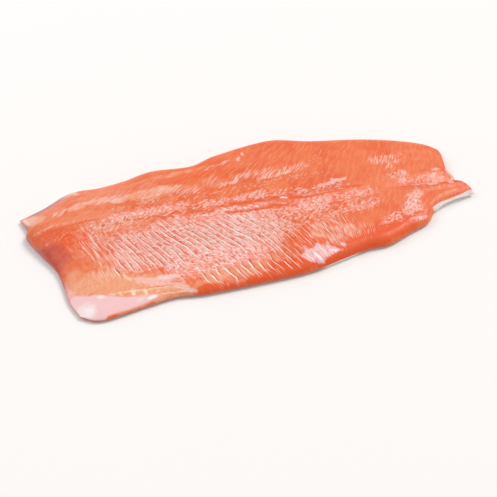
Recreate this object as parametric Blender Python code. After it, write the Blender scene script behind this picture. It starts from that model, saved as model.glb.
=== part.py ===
"""A raw steelhead trout fillet, skin down: the flesh and the skin under it.

The frame: X runs from the head cut (-X) to the tail (+X), Y from the belly edge (-Y) to the
back edge (+Y), and Z up from the surface that the skin lies on. The origin is under the middle.
"""

import bmesh
import bpy
import numpy as np

MM = 0.001

# Driving dimensions, in metres.
LENGTH = 460 * MM
WIDTH = 204 * MM
SKIN_THICKNESS = 1.0 * MM
SKIN_GAP = 0.3 * MM
EDGE_HEIGHT = 3.4 * MM

# Thickness of the flesh above the table at stations from head cut (0) to tail (1).
STATIONS = (0.00, 0.12, 0.30, 0.55, 0.75, 0.88, 1.00)
LOIN_HEIGHT = tuple(h * MM for h in (18.0, 22.5, 24.5, 23.5, 18.5, 14.0, 9.0))
MIDLINE_HEIGHT = tuple(h * MM for h in (18.5, 21.0, 21.0, 19.5, 16.0, 12.5, 10.0))
BELLY_HEIGHT = tuple(h * MM for h in (5.5, 6.5, 9.0, 10.5, 10.5, 9.5, 8.5))
LOIN_PLACE = 0.50
BELLY_BOW = 1.35
BELLY_BOW_TAIL = 0.75

# How far in from each edge the rounded shoulder reaches.
SHOULDER_HEAD = 28 * MM
SHOULDER_TAIL = 4 * MM
SHOULDER_BELLY = 10 * MM
SHOULDER_BACK = 17 * MM

# At the head the back edge is a long bevel in place of a shoulder, until these fractions along.
BEVEL_REACH = 42 * MM
BEVEL_CURVE = 1.7
BEVEL_END = (0.08, 0.32)

# The groove that the backbone leaves, and the step where the lower tail lobe lies higher.
GROOVE_DEPTH = 1.6 * MM
GROOVE_WIDTH = 5 * MM
GROOVE_SPAN = (0.40, 0.78)
STEP_START = 0.80
STEP_FULL = 0.90
LOBE_RISE = 2.2 * MM
LOBE_RISE_WIDTH = 16 * MM
HOLLOW_DEPTH = 4.2 * MM
HOLLOW_WIDTH = 22 * MM

# Edge curves as fractions of half the length and half the width.
HEAD_CORNER = (-0.826, -0.912)
MIDLINE_HEAD = (-0.972, 0.150)
HEAD_TIP = (-1.000, 0.525)
TAIL_CORNER = (0.994, -0.375)
MIDLINE_TAIL = (0.945, -0.212)
BACK_CORNER = (0.972, 0.395)
BELLY_EDGE = (
    HEAD_CORNER, (-0.745, -1.000), (-0.560, -0.945), (-0.440, -0.915), (-0.310, -0.955),
    (-0.010, -0.965), (0.140, -0.950), (0.270, -0.890), (0.400, -0.830), (0.500, -0.825),
    (0.620, -0.725), (0.715, -0.645), (0.775, -0.510), (0.870, -0.408), TAIL_CORNER,
)
BACK_EDGE = (
    HEAD_TIP, (-0.895, 0.630), (-0.810, 0.745), (-0.730, 0.800), (-0.640, 0.765),
    (-0.520, 0.765), (-0.390, 0.815), (-0.215, 0.785), (-0.090, 0.885), (0.090, 0.970),
    (0.230, 0.990), (0.390, 0.880), (0.630, 0.780), (0.800, 0.660), (0.920, 0.525), BACK_CORNER,
)
MIDLINE = (
    MIDLINE_HEAD, (-0.830, 0.180), (-0.740, 0.165), (-0.640, 0.090), (-0.450, 0.040),
    (-0.100, -0.010), (0.200, -0.050), (0.420, -0.050), (0.600, -0.125), (0.740, -0.192), MIDLINE_TAIL,
)
HEAD_CUT_BELLY = (
    HEAD_CORNER, (-0.857, -0.700), (-0.880, -0.320), (-0.930, -0.060), MIDLINE_HEAD,
)
HEAD_CUT_BACK = (
    MIDLINE_HEAD, (-0.985, 0.250), (-0.974, 0.340), (-0.988, 0.440), HEAD_TIP,
)
TAIL_END_BELLY = (TAIL_CORNER, (0.996, -0.310), (0.980, -0.235), MIDLINE_TAIL)
TAIL_END_BACK = (
    MIDLINE_TAIL, (0.954, -0.070), (0.948, 0.020), (0.962, 0.150), (0.975, 0.290), BACK_CORNER,
)

# The skin stands out past the flesh by a little all round. At each lip it turns up along the
# side of the flesh: place as fractions of half length and half width, reach, out and up.
RIM_OUT = 0.4 * MM
LIPS = (
    ((0.880, -0.430), 34 * MM, 1.0 * MM, 2.6 * MM),
    ((0.955, -0.050), 15 * MM, 0.6 * MM, 1.4 * MM),
    ((0.270, -0.900), 26 * MM, 0.5 * MM, 0.8 * MM),
    ((-0.620, -0.960), 34 * MM, 0.5 * MM, 0.7 * MM),
)

# Mesh lines: two close ones at every edge, and close ones beside the midline.
EDGE_LINES = (0.0, 0.005, 0.014, 0.030)
SIDE_LINES = (0.0, 0.025, 0.070, 0.130)
LENGTH_CELLS = 68
BELLY_CELLS = 13
BACK_CELLS = 13
CURL_LOOPS = 2
CURVE_SAMPLES = 40

FLESH_COLOUR = (0.866, 0.195, 0.079, 1.0)
SKIN_COLOUR = (0.680, 0.640, 0.640, 1.0)


def clear_scene():
    """Remove every object that the file starts with."""
    for item in list(bpy.data.objects):
        bpy.data.objects.remove(item, do_unlink=True)


def wet_material(name, colour, roughness):
    """A Principled material of one colour."""
    material = bpy.data.materials.new(name)
    material.use_nodes = True
    shader = material.node_tree.nodes["Principled BSDF"]
    shader.inputs["Base Color"].default_value = colour
    shader.inputs["Roughness"].default_value = roughness
    shader.inputs["Metallic"].default_value = 0.0
    return material


def smooth_curve(points, fractions):
    """Points at the given fractions of the length of a smooth curve through points."""
    knots = np.array(points) * (LENGTH / 2, WIDTH / 2)
    before = 2 * knots[0] - knots[1]
    after = 2 * knots[-1] - knots[-2]
    padded = np.vstack([before, knots, after])
    t = np.linspace(0, 1, CURVE_SAMPLES, endpoint=False)[:, None]
    runs = []
    for a, b, c, d in zip(padded, padded[1:], padded[2:], padded[3:]):
        cubic = 2 * b + (c - a) * t + (2 * a - 5 * b + 4 * c - d) * t**2 + (3 * b - a - 3 * c + d) * t**3
        runs.append(0.5 * cubic)
    dense = np.vstack(runs + [knots[-1:]])
    steps = np.linalg.norm(np.diff(dense, axis=0), axis=1)
    travelled = np.concatenate([[0.0], np.cumsum(steps)]) / steps.sum()
    return np.column_stack([np.interp(fractions, travelled, dense[:, k]) for k in (0, 1)])


def spaced(start_lines, end_lines, cells):
    """Fractions from 0 to 1 with set lines near both ends and even ones between."""
    end_part = [1 - value for value in reversed(end_lines)]
    middle_cells = cells - len(start_lines) - len(end_lines) + 2
    middle = np.linspace(start_lines[-1], end_part[0], middle_cells + 1)[1:-1]
    return np.concatenate([start_lines, middle, end_part])


def patch(low, high, start, end, along, across):
    """A grid of plan points between four edge curves (a Coons patch)."""
    u = along[:, None, None]
    v = across[None, :, None]
    ruled_across = (1 - v) * low[:, None] + v * high[:, None]
    ruled_along = (1 - u) * start[None] + u * end[None]
    corners = (1 - u) * ((1 - v) * low[0] + v * high[0]) + u * ((1 - v) * low[-1] + v * high[-1])
    return ruled_across + ruled_along - corners


def plan_grid():
    """The plan points of the whole fillet, and the fractions of its grid lines."""
    along = spaced(EDGE_LINES, EDGE_LINES, LENGTH_CELLS)
    belly_side = spaced(SIDE_LINES, SIDE_LINES, BELLY_CELLS)
    back_side = spaced(SIDE_LINES, SIDE_LINES, BACK_CELLS)
    midline = smooth_curve(MIDLINE, along)
    belly_half = patch(
        smooth_curve(BELLY_EDGE, along), midline,
        smooth_curve(HEAD_CUT_BELLY, belly_side), smooth_curve(TAIL_END_BELLY, belly_side),
        along, belly_side,
    )
    back_half = patch(
        midline, smooth_curve(BACK_EDGE, along),
        smooth_curve(HEAD_CUT_BACK, back_side), smooth_curve(TAIL_END_BACK, back_side),
        along, back_side,
    )
    grid = np.concatenate([belly_half, back_half[:, 1:]], axis=1)
    low = grid.reshape(-1, 2).min(axis=0)
    high = grid.reshape(-1, 2).max(axis=0)
    centred = grid - (low + high) / 2
    fitted = centred * np.array([LENGTH, WIDTH]) / (high - low)
    return fitted, along, len(belly_side) - 1


def distances(grid, middle):
    """Distance of each grid point from the head cut, the tail, both edges and the midline."""
    along = np.linalg.norm(np.diff(grid, axis=0), axis=2)
    across = np.linalg.norm(np.diff(grid, axis=1), axis=2)
    from_head = np.vstack([np.zeros(grid.shape[1]), np.cumsum(along, axis=0)])
    from_belly = np.column_stack([np.zeros(grid.shape[0]), np.cumsum(across, axis=1)])
    return {
        "head": from_head,
        "tail": from_head[-1] - from_head,
        "belly": from_belly,
        "back": from_belly[:, -1:] - from_belly,
        "midline": from_belly - from_belly[:, middle:middle + 1],
    }


def shoulder(distance, reach):
    """The rise of a quarter ellipse, from 0 at the edge to 1 at reach."""
    return np.sqrt(1 - (1 - np.clip(distance / reach, 0, 1)) ** 2)


def bevel(distance, reach):
    """The rise of a rounded bevel, from 0 at the edge to 1 at reach, which is never steep."""
    return 1 - (1 - np.clip(distance / reach, 0, 1)) ** BEVEL_CURVE


def ease(value, start, end):
    """A smooth step from 0 at start to 1 at end."""
    t = np.clip((value - start) / (end - start), 0, 1)
    return t * t * (3 - 2 * t)


def hump(distance, reach):
    """1 at distance 0, falling smoothly to 0 at reach on both sides."""
    return 1 - ease(np.abs(distance), 0, reach)


def top_height(grid, along, middle):
    """Height of the upper surface over each grid point."""
    far = distances(grid, middle)
    at = along[:, None]
    loin = np.interp(along, STATIONS, LOIN_HEIGHT)[:, None]
    midline = np.interp(along, STATIONS, MIDLINE_HEIGHT)[:, None]
    belly = np.interp(along, STATIONS, BELLY_HEIGHT)[:, None]
    half = far["belly"][:, middle:middle + 1]
    side = np.clip(far["belly"] / half, 0, 1)
    bow = BELLY_BOW + (BELLY_BOW_TAIL - BELLY_BOW) * at
    belly_side = belly + (midline - belly) * side**bow
    rise = hump(far["midline"] / far["midline"][:, -1:] - LOIN_PLACE, LOIN_PLACE)
    thickness = np.where(far["midline"] > 0, midline + (loin - midline) * rise, belly_side)

    groove = hump(far["midline"], GROOVE_WIDTH) * hump(at - np.mean(GROOVE_SPAN), np.ptp(GROOVE_SPAN) / 2)
    thickness = thickness - GROOVE_DEPTH * groove
    lobe = ease(at, STEP_START, STEP_FULL)
    over = np.where(far["midline"] <= 0, hump(far["midline"], LOBE_RISE_WIDTH), 0)
    under = np.where(far["midline"] > 0, hump(far["midline"], HOLLOW_WIDTH), 0)
    thickness = thickness + lobe * (LOBE_RISE * over - HOLLOW_DEPTH * under)

    full = ease(at, *BEVEL_END)
    back = full * shoulder(far["back"], SHOULDER_BACK) + (1 - full) * bevel(far["back"], BEVEL_REACH)
    rounded = (
        shoulder(far["head"], SHOULDER_HEAD) * shoulder(far["tail"], SHOULDER_TAIL)
        * shoulder(far["belly"], SHOULDER_BELLY) * back
    )
    return EDGE_HEIGHT + (thickness - EDGE_HEIGHT) * rounded


def loop_indices(grid, depth):
    """Grid indices of the closed loop that runs depth lines in from the edge."""
    last_u = grid.shape[0] - 1 - depth
    last_v = grid.shape[1] - 1 - depth
    loop = [(i, depth) for i in range(depth, last_u)]
    loop += [(last_u, j) for j in range(depth, last_v)]
    loop += [(i, last_v) for i in range(last_u, depth, -1)]
    loop += [(depth, j) for j in range(last_v, depth, -1)]
    return loop


def curl_height(depth):
    """Height of the underside of the flesh on the loop that lies depth lines in."""
    base = SKIN_THICKNESS + SKIN_GAP
    return base + (EDGE_HEIGHT - base) * (1 - depth / CURL_LOOPS) ** 2


def add_underside(mesh, grid, lowered, upward):
    """Add the edge strips and the flat middle of a lower surface, and return its outer loop.

    Each square is cut along the same diagonal on every layer, so that the layers stay parallel.
    The faces point up or down, as upward says.
    """
    turn = 1 if upward else -1
    corners = {}
    for depth in range(CURL_LOOPS + 1):
        for i, j in loop_indices(grid, depth):
            corners[i, j] = mesh.verts.new((*grid[i, j], curl_height(depth) - lowered))
    for i in range(grid.shape[0] - 1):
        for j in range(grid.shape[1] - 1):
            square = [(i, j), (i + 1, j), (i + 1, j + 1), (i, j + 1)]
            if all(key in corners for key in square):
                a, b, c, d = (corners[key] for key in square)
                mesh.faces.new([a, b, c][::turn])
                mesh.faces.new([a, c, d][::turn])
    middle = [corners[key] for key in loop_indices(grid, CURL_LOOPS)]
    mesh.faces.new(middle[::turn])
    return [corners[key] for key in loop_indices(grid, 0)]


def finish_object(name, mesh, material):
    """Turn a bmesh into a named, smooth-shaded object with one material."""
    data = bpy.data.meshes.new(name)
    mesh.to_mesh(data)
    mesh.free()
    data.materials.append(material)
    data.shade_smooth()
    item = bpy.data.objects.new(name, data)
    bpy.context.collection.objects.link(item)
    return item


def build_flesh(grid, along, middle):
    """The flesh: a crowned top over a flat underside whose edge curls up to meet it."""
    mesh = bmesh.new()
    outer = add_underside(mesh, grid, 0.0, upward=False)
    edge = dict(zip(loop_indices(grid, 0), outer))
    top = top_height(grid, along, middle)
    nodes = {}
    for i in range(grid.shape[0]):
        for j in range(grid.shape[1]):
            nodes[i, j] = edge.get((i, j)) or mesh.verts.new((*grid[i, j], top[i, j]))
    for i in range(grid.shape[0] - 1):
        for j in range(grid.shape[1] - 1):
            mesh.faces.new([nodes[i, j], nodes[i + 1, j], nodes[i + 1, j + 1], nodes[i, j + 1]])
    return finish_object("flesh", mesh, wet_material("raw trout flesh", FLESH_COLOUR, 0.35))


def rim_points(grid):
    """Where the outer edge of the skin lies: its top points, past and above the flesh's edge."""
    loop = np.array([grid[i, j] for i, j in loop_indices(grid, 0)])
    ahead = np.roll(loop, -1, axis=0) - np.roll(loop, 1, axis=0)
    outward = np.column_stack([ahead[:, 1], -ahead[:, 0]])
    outward /= np.linalg.norm(outward, axis=1, keepdims=True)
    out = np.full(len(loop), RIM_OUT)
    up = np.zeros(len(loop))
    for place, reach, lip_out, lip_up in LIPS:
        centre = np.array(place) * (LENGTH / 2, WIDTH / 2)
        near = hump(np.linalg.norm(loop - centre, axis=1), reach)
        out += lip_out * near
        up += lip_up * near
    return np.column_stack([loop + outward * out[:, None], EDGE_HEIGHT - SKIN_GAP + up])


def build_skin(grid):
    """The skin: a thin layer that follows the underside and shows as a rim past the flesh."""
    mesh = bmesh.new()
    upper = add_underside(mesh, grid, SKIN_GAP, upward=True)
    lower = add_underside(mesh, grid, SKIN_GAP + SKIN_THICKNESS, upward=False)
    rim = rim_points(grid)
    rim_top = [mesh.verts.new(point) for point in rim]
    rim_bottom = [mesh.verts.new((x, y, EDGE_HEIGHT - SKIN_GAP - SKIN_THICKNESS)) for x, y, z in rim]
    rings = [upper, rim_top, rim_bottom, lower]
    for inner, outer in zip(rings, rings[1:]):
        for k in range(len(inner)):
            after = (k + 1) % len(inner)
            mesh.faces.new([inner[k], outer[k], outer[after], inner[after]])
    return finish_object("skin", mesh, wet_material("trout skin", SKIN_COLOUR, 0.3))


def main():
    """Build the two layers of the fillet."""
    clear_scene()
    grid, along, middle = plan_grid()
    build_flesh(grid, along, middle)
    build_skin(grid)


main()
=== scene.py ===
"""The looks of a raw steelhead trout fillet: wet flesh with its flakes, fat and belly flap, on its skin.

Lengths are in metres unless a name's description says otherwise. X runs from the head cut (-X) to the
tail (+X), Y from the belly edge (-Y) to the back edge (+Y), and Z up from what the skin lies on.
"""

import logging
from collections.abc import Callable
from dataclasses import dataclass
from enum import Enum
from functools import partial
from math import radians

import bpy
import numpy as np
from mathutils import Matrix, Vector


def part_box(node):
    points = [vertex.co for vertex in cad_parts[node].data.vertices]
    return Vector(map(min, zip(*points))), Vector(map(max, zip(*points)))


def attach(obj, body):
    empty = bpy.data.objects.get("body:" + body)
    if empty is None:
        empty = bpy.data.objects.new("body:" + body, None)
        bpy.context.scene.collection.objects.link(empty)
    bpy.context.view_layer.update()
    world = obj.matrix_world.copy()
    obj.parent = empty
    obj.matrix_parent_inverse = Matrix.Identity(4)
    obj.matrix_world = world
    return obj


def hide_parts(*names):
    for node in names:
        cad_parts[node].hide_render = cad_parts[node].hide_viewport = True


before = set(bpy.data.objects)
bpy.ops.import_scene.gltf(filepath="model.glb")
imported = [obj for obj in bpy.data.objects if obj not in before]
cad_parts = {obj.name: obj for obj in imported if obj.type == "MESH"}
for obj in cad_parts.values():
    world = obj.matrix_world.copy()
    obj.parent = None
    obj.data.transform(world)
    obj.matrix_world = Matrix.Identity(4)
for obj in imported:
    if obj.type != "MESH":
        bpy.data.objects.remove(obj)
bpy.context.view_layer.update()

log = logging.getLogger("fillet")

Array = np.ndarray
Point = tuple[float, float]
Place = tuple[float, float, float]
Input = bpy.types.Node | bpy.types.NodeSocket
Adder = Callable[..., bpy.types.Node]

MM = 0.001
BODY = "root"

# Places on the flesh are in millimetres on a fillet of this size, and are fitted to the real box.
PLAN_LENGTH = 460.0
PLAN_WIDTH = 204.0

# The names of the vertex attributes that aren't zones.
FLAKE_COUNT = "flake_count"
FLAKE_DEPTH = "flake_depth"
FLAKE_PHASE = "flake_phase"
FLAKE_FLOW = "flake_flow"
FREE = "free"
GRAINY = "grainy"
SKIN_SIDE = "skin_side"
SKIN_RIM = "skin_rim"
SKIN_LIP = "skin_lip"


def linear(colour: str) -> tuple[float, float, float, float]:
    """Turn an sRGB colour into a linear one.

    Args:
        colour: The colour as hex, such as "#EE7440".

    Returns:
        Linear red, green, blue and alpha, from 0 to 1.
    """
    parts = [int(colour[k:k + 2], 16) / 255 for k in (1, 3, 5)]
    curved = [c / 12.92 if c <= 0.04045 else ((c + 0.055) / 1.055) ** 2.4 for c in parts]
    return (*curved, 1.0)


def ease(value: Array, start: float, end: float) -> Array:
    """Step smoothly from 0 at start to 1 at end."""
    t = np.clip((value - start) / (end - start), 0, 1)
    return t * t * (3 - 2 * t)


def hump(distance: Array, reach: float) -> Array:
    """1 at distance 0, falling smoothly to 0 at reach on both sides."""
    return 1 - ease(np.abs(distance), 0, reach)


def fill_node(node: bpy.types.Node, inputs: dict[str | int, object]) -> None:
    """Fill or link a node's inputs.

    Args:
        node: The node.
        inputs: A value, a node or a socket for each input, by name, or by number where names repeat.
    """
    for key, value in inputs.items():
        named = isinstance(key, str)
        socket = next(s for s in node.inputs if s.name == key and s.enabled) if named else node.inputs[key]
        if isinstance(value, bpy.types.Node):
            value = next(s for s in value.outputs if s.enabled)
        if isinstance(value, bpy.types.NodeSocket):
            node.id_data.links.new(value, socket)
        else:
            socket.default_value = value


def add_node(
    tree: bpy.types.NodeTree,
    kind: str,
    inputs: dict[str | int, object] | None = None,
    **settings: object,
) -> bpy.types.Node:
    """Add a node, set its properties, and fill or link its inputs.

    Args:
        tree: The tree that gets the node.
        kind: The node's type.
        inputs: A value, a node or a socket for each input, by name, or by number where names repeat.
        settings: The node's properties.

    Returns:
        The new node.
    """
    node = tree.nodes.new(kind)
    for name, value in settings.items():
        setattr(node, name, value)
    fill_node(node, inputs or {})
    return node


def start_material(name: str) -> tuple[bpy.types.Material, Adder, bpy.types.Node]:
    """Start a material.

    Args:
        name: The material's name.

    Returns:
        The material, the function that adds a node to it, and its shader.
    """
    material = bpy.data.materials.new(name)
    material.use_nodes = True
    tree = material.node_tree
    return material, partial(add_node, tree), tree.nodes["Principled BSDF"]


class Zone(Enum):
    """A vertex attribute that says how strongly one look covers each point of the flesh."""

    DEEP = "deep"
    GROOVE = "groove"
    SHADE = "shade"
    PEACH = "peach"
    PALE = "pale"
    FILM = "film"
    STRAND = "strand"
    STREAK = "streak"
    SEPTA = "septa"
    BROAD = "broad"
    FLECK = "fleck"
    FLAP = "flap"
    CREAM = "cream"
    GLOSS = "gloss"
    WHITE = "white"
    SHEEN = "sheen"
    RIM = "rim"


# Zones whose edges stay clean, and zones where the surface is uneven rather than smooth.
CLEAN_ZONES = (Zone.FLAP, Zone.RIM, Zone.CREAM, Zone.GROOVE, Zone.GLOSS, Zone.WHITE)
GRAINY_ZONES = (Zone.FILM, Zone.STREAK, Zone.FLECK, Zone.STRAND)

# Where the soft edge of a patch and of a band starts and ends, as fractions of half its size.
PATCH_FADE = (0.45, 1.25)
RIBBON_FADE = (0.35, 1.35)
# Where a band's end starts to fade in, as a fraction of its taper.
TAPER_START = -0.2


class Shape:
    """A soft area of the plan that one look covers. Its fields are in millimetres and degrees.

    Attributes:
        strength: How strongly it covers, from 0 to 1.
    """

    strength: float

    def cover(self, x: Array, y: Array) -> Array:
        """Say how strongly the look covers each point.

        Args:
            x: The points' places along the plan, in millimetres.
            y: The points' places across the plan, in millimetres.

        Returns:
            The cover at each point, from 0 to the shape's strength.
        """
        return self.strength * self.share(x, y)

    def share(self, x: Array, y: Array) -> Array:
        """Say how the shape lies at full strength. Each kind of shape has its own."""
        raise NotImplementedError


@dataclass(frozen=True)
class Patch(Shape):
    """A soft oval.

    Attributes:
        place: Its centre.
        size: Half its length and half its width.
        strength: How strongly it covers, from 0 to 1.
        turn: How far its length is turned from X.
    """

    place: Point
    size: Point
    strength: float
    turn: float = 0.0

    def share(self, x: Array, y: Array) -> Array:
        """Fade the oval from its middle out.

        Args:
            x: The points' places along the plan, in millimetres.
            y: The points' places across the plan, in millimetres.

        Returns:
            The share of the full strength at each point, from 0 to 1.
        """
        cos, sin = np.cos(radians(self.turn)), np.sin(radians(self.turn))
        dx, dy = x - self.place[0], y - self.place[1]
        u = (dx * cos + dy * sin) / self.size[0]
        v = (dy * cos - dx * sin) / self.size[1]
        return 1 - ease(np.hypot(u, v), *PATCH_FADE)


@dataclass(frozen=True)
class Ribbon(Shape):
    """A soft band along a path, faded out at both ends.

    Attributes:
        path: Points that the band runs through.
        width: Half its width.
        strength: How strongly it covers, from 0 to 1.
        taper: The length over which each end fades.
    """

    path: tuple[Point, ...]
    width: float
    strength: float
    taper: float

    def share(self, x: Array, y: Array) -> Array:
        """Fade the band to its sides and its ends.

        Args:
            x: The points' places along the plan, in millimetres.
            y: The points' places across the plan, in millimetres.

        Returns:
            The share of the full strength at each point, from 0 to 1.
        """
        nearest = np.full(x.shape, np.inf)
        place = np.zeros(x.shape)
        length = 0.0
        for (ax, ay), (bx, by) in zip(self.path, self.path[1:]):
            run = np.hypot(bx - ax, by - ay)
            t = np.clip(((x - ax) * (bx - ax) + (y - ay) * (by - ay)) / run**2, 0, 1)
            away = np.hypot(x - ax - t * (bx - ax), y - ay - t * (by - ay))
            place = np.where(away < nearest, length + t * run, place)
            nearest = np.minimum(nearest, away)
            length += run
        ends = ease(np.minimum(place, length - place), TAPER_START * self.taper, self.taper)
        return ends * (1 - ease(nearest / self.width, *RIBBON_FADE))


@dataclass(frozen=True)
class Sheet(Shape):
    """An area between two lines that run along the plan.

    Attributes:
        upper: Points on the line at its back side, from head to tail.
        lower: Points on the line at its belly side.
        soft: How far its edges fade to each side.
        strength: How strongly it covers, from 0 to 1.
    """

    upper: tuple[Point, ...]
    lower: tuple[Point, ...]
    soft: float
    strength: float = 1.0

    def share(self, x: Array, y: Array) -> Array:
        """Fade the area at its edges.

        Args:
            x: The points' places along the plan, in millimetres.
            y: The points' places across the plan, in millimetres.

        Returns:
            The share of the full strength at each point, from 0 to 1.
        """
        above = np.interp(x, *zip(*self.upper)) - y
        below = y - np.interp(x, *zip(*self.lower))
        before = np.minimum(x - self.upper[0][0], self.upper[-1][0] - x)
        return ease(np.minimum(np.minimum(above, below), before), -self.soft, self.soft)


@dataclass
class Plan:
    """A grid of points over the fillet, seen from above.

    Attributes:
        points: Place of each grid point, from head to tail and from belly to back.
        along: Fraction from head to tail of each grid line.
        middle: The grid line that runs on the midline.
    """

    points: Array
    along: Array
    middle: int

    def __post_init__(self) -> None:
        """Number the points, and measure how far each is from the ends, the edges and the midline."""
        rows, columns = self.points.shape[:2]
        self.numbers = np.arange(rows * columns).reshape(rows, columns)
        steps_along = np.linalg.norm(np.diff(self.points, axis=0), axis=2)
        steps_across = np.linalg.norm(np.diff(self.points, axis=1), axis=2)
        self.head = np.vstack([np.zeros(columns), np.cumsum(steps_along, axis=0)])
        self.belly = np.column_stack([np.zeros(rows), np.cumsum(steps_across, axis=1)])
        self.tail = self.head[-1] - self.head
        self.back = self.belly[:, -1:] - self.belly
        self.midline = self.belly - self.belly[:, self.middle:self.middle + 1]
        self.edge = np.minimum(np.minimum(self.head, self.tail), np.minimum(self.belly, self.back))

    def loop(self, depth: int) -> list[tuple[int, int]]:
        """List the grid places of a closed loop round the fillet.

        Args:
            depth: How many grid lines in from the edge the loop runs.

        Returns:
            The loop's grid places, anticlockwise seen from above.
        """
        last_u = self.points.shape[0] - 1 - depth
        last_v = self.points.shape[1] - 1 - depth
        places = [(i, depth) for i in range(depth, last_u)]
        places += [(last_u, j) for j in range(depth, last_v)]
        places += [(i, last_v) for i in range(last_u, depth, -1)]
        places += [(depth, j) for j in range(last_v, depth, -1)]
        return places

    def cells(self) -> Array:
        """List the corners of each cell.

        Returns:
            The numbers of each cell's four corners, anticlockwise seen from above.
        """
        grid = self.numbers
        corners = [grid[:-1, :-1], grid[1:, :-1], grid[1:, 1:], grid[:-1, 1:]]
        return np.stack(corners, axis=-1).reshape(-1, 4)

    def at_height(self, height: Array) -> Array:
        """List the grid's points, each at its height."""
        return np.dstack([self.points, height]).reshape(-1, 3)


@dataclass(frozen=True)
class Spacing:
    """How finely a grid is laid over the fillet.

    Attributes:
        end_lines: Set lines near the head cut and the tail, as fractions of the length.
        length_cells: How many cells there are from head to tail.
        side_lines: Set lines near the edges and the midline, as fractions of one side.
        side_cells: How many cells there are from the midline to an edge.
    """

    end_lines: tuple[float, ...]
    length_cells: int
    side_lines: tuple[float, ...]
    side_cells: int

    @staticmethod
    def fractions(end_lines: tuple[float, ...], cells: int) -> Array:
        """Space lines from 0 to 1: the set ones near both ends, and even ones between.

        Args:
            end_lines: The set lines near 0, which are mirrored near 1.
            cells: How many cells the lines make.

        Returns:
            The place of each line.
        """
        mirrored = [1 - value for value in reversed(end_lines)]
        even = np.linspace(end_lines[-1], mirrored[0], cells - 2 * len(end_lines) + 3)[1:-1]
        return np.concatenate([end_lines, even, mirrored])

    def along(self) -> Array:
        """Space the lines from the head cut (0) to the tail (1)."""
        return self.fractions(self.end_lines, self.length_cells)

    def across(self) -> Array:
        """Space the lines over one side, from 0 to 1."""
        return self.fractions(self.side_lines, self.side_cells)


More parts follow.
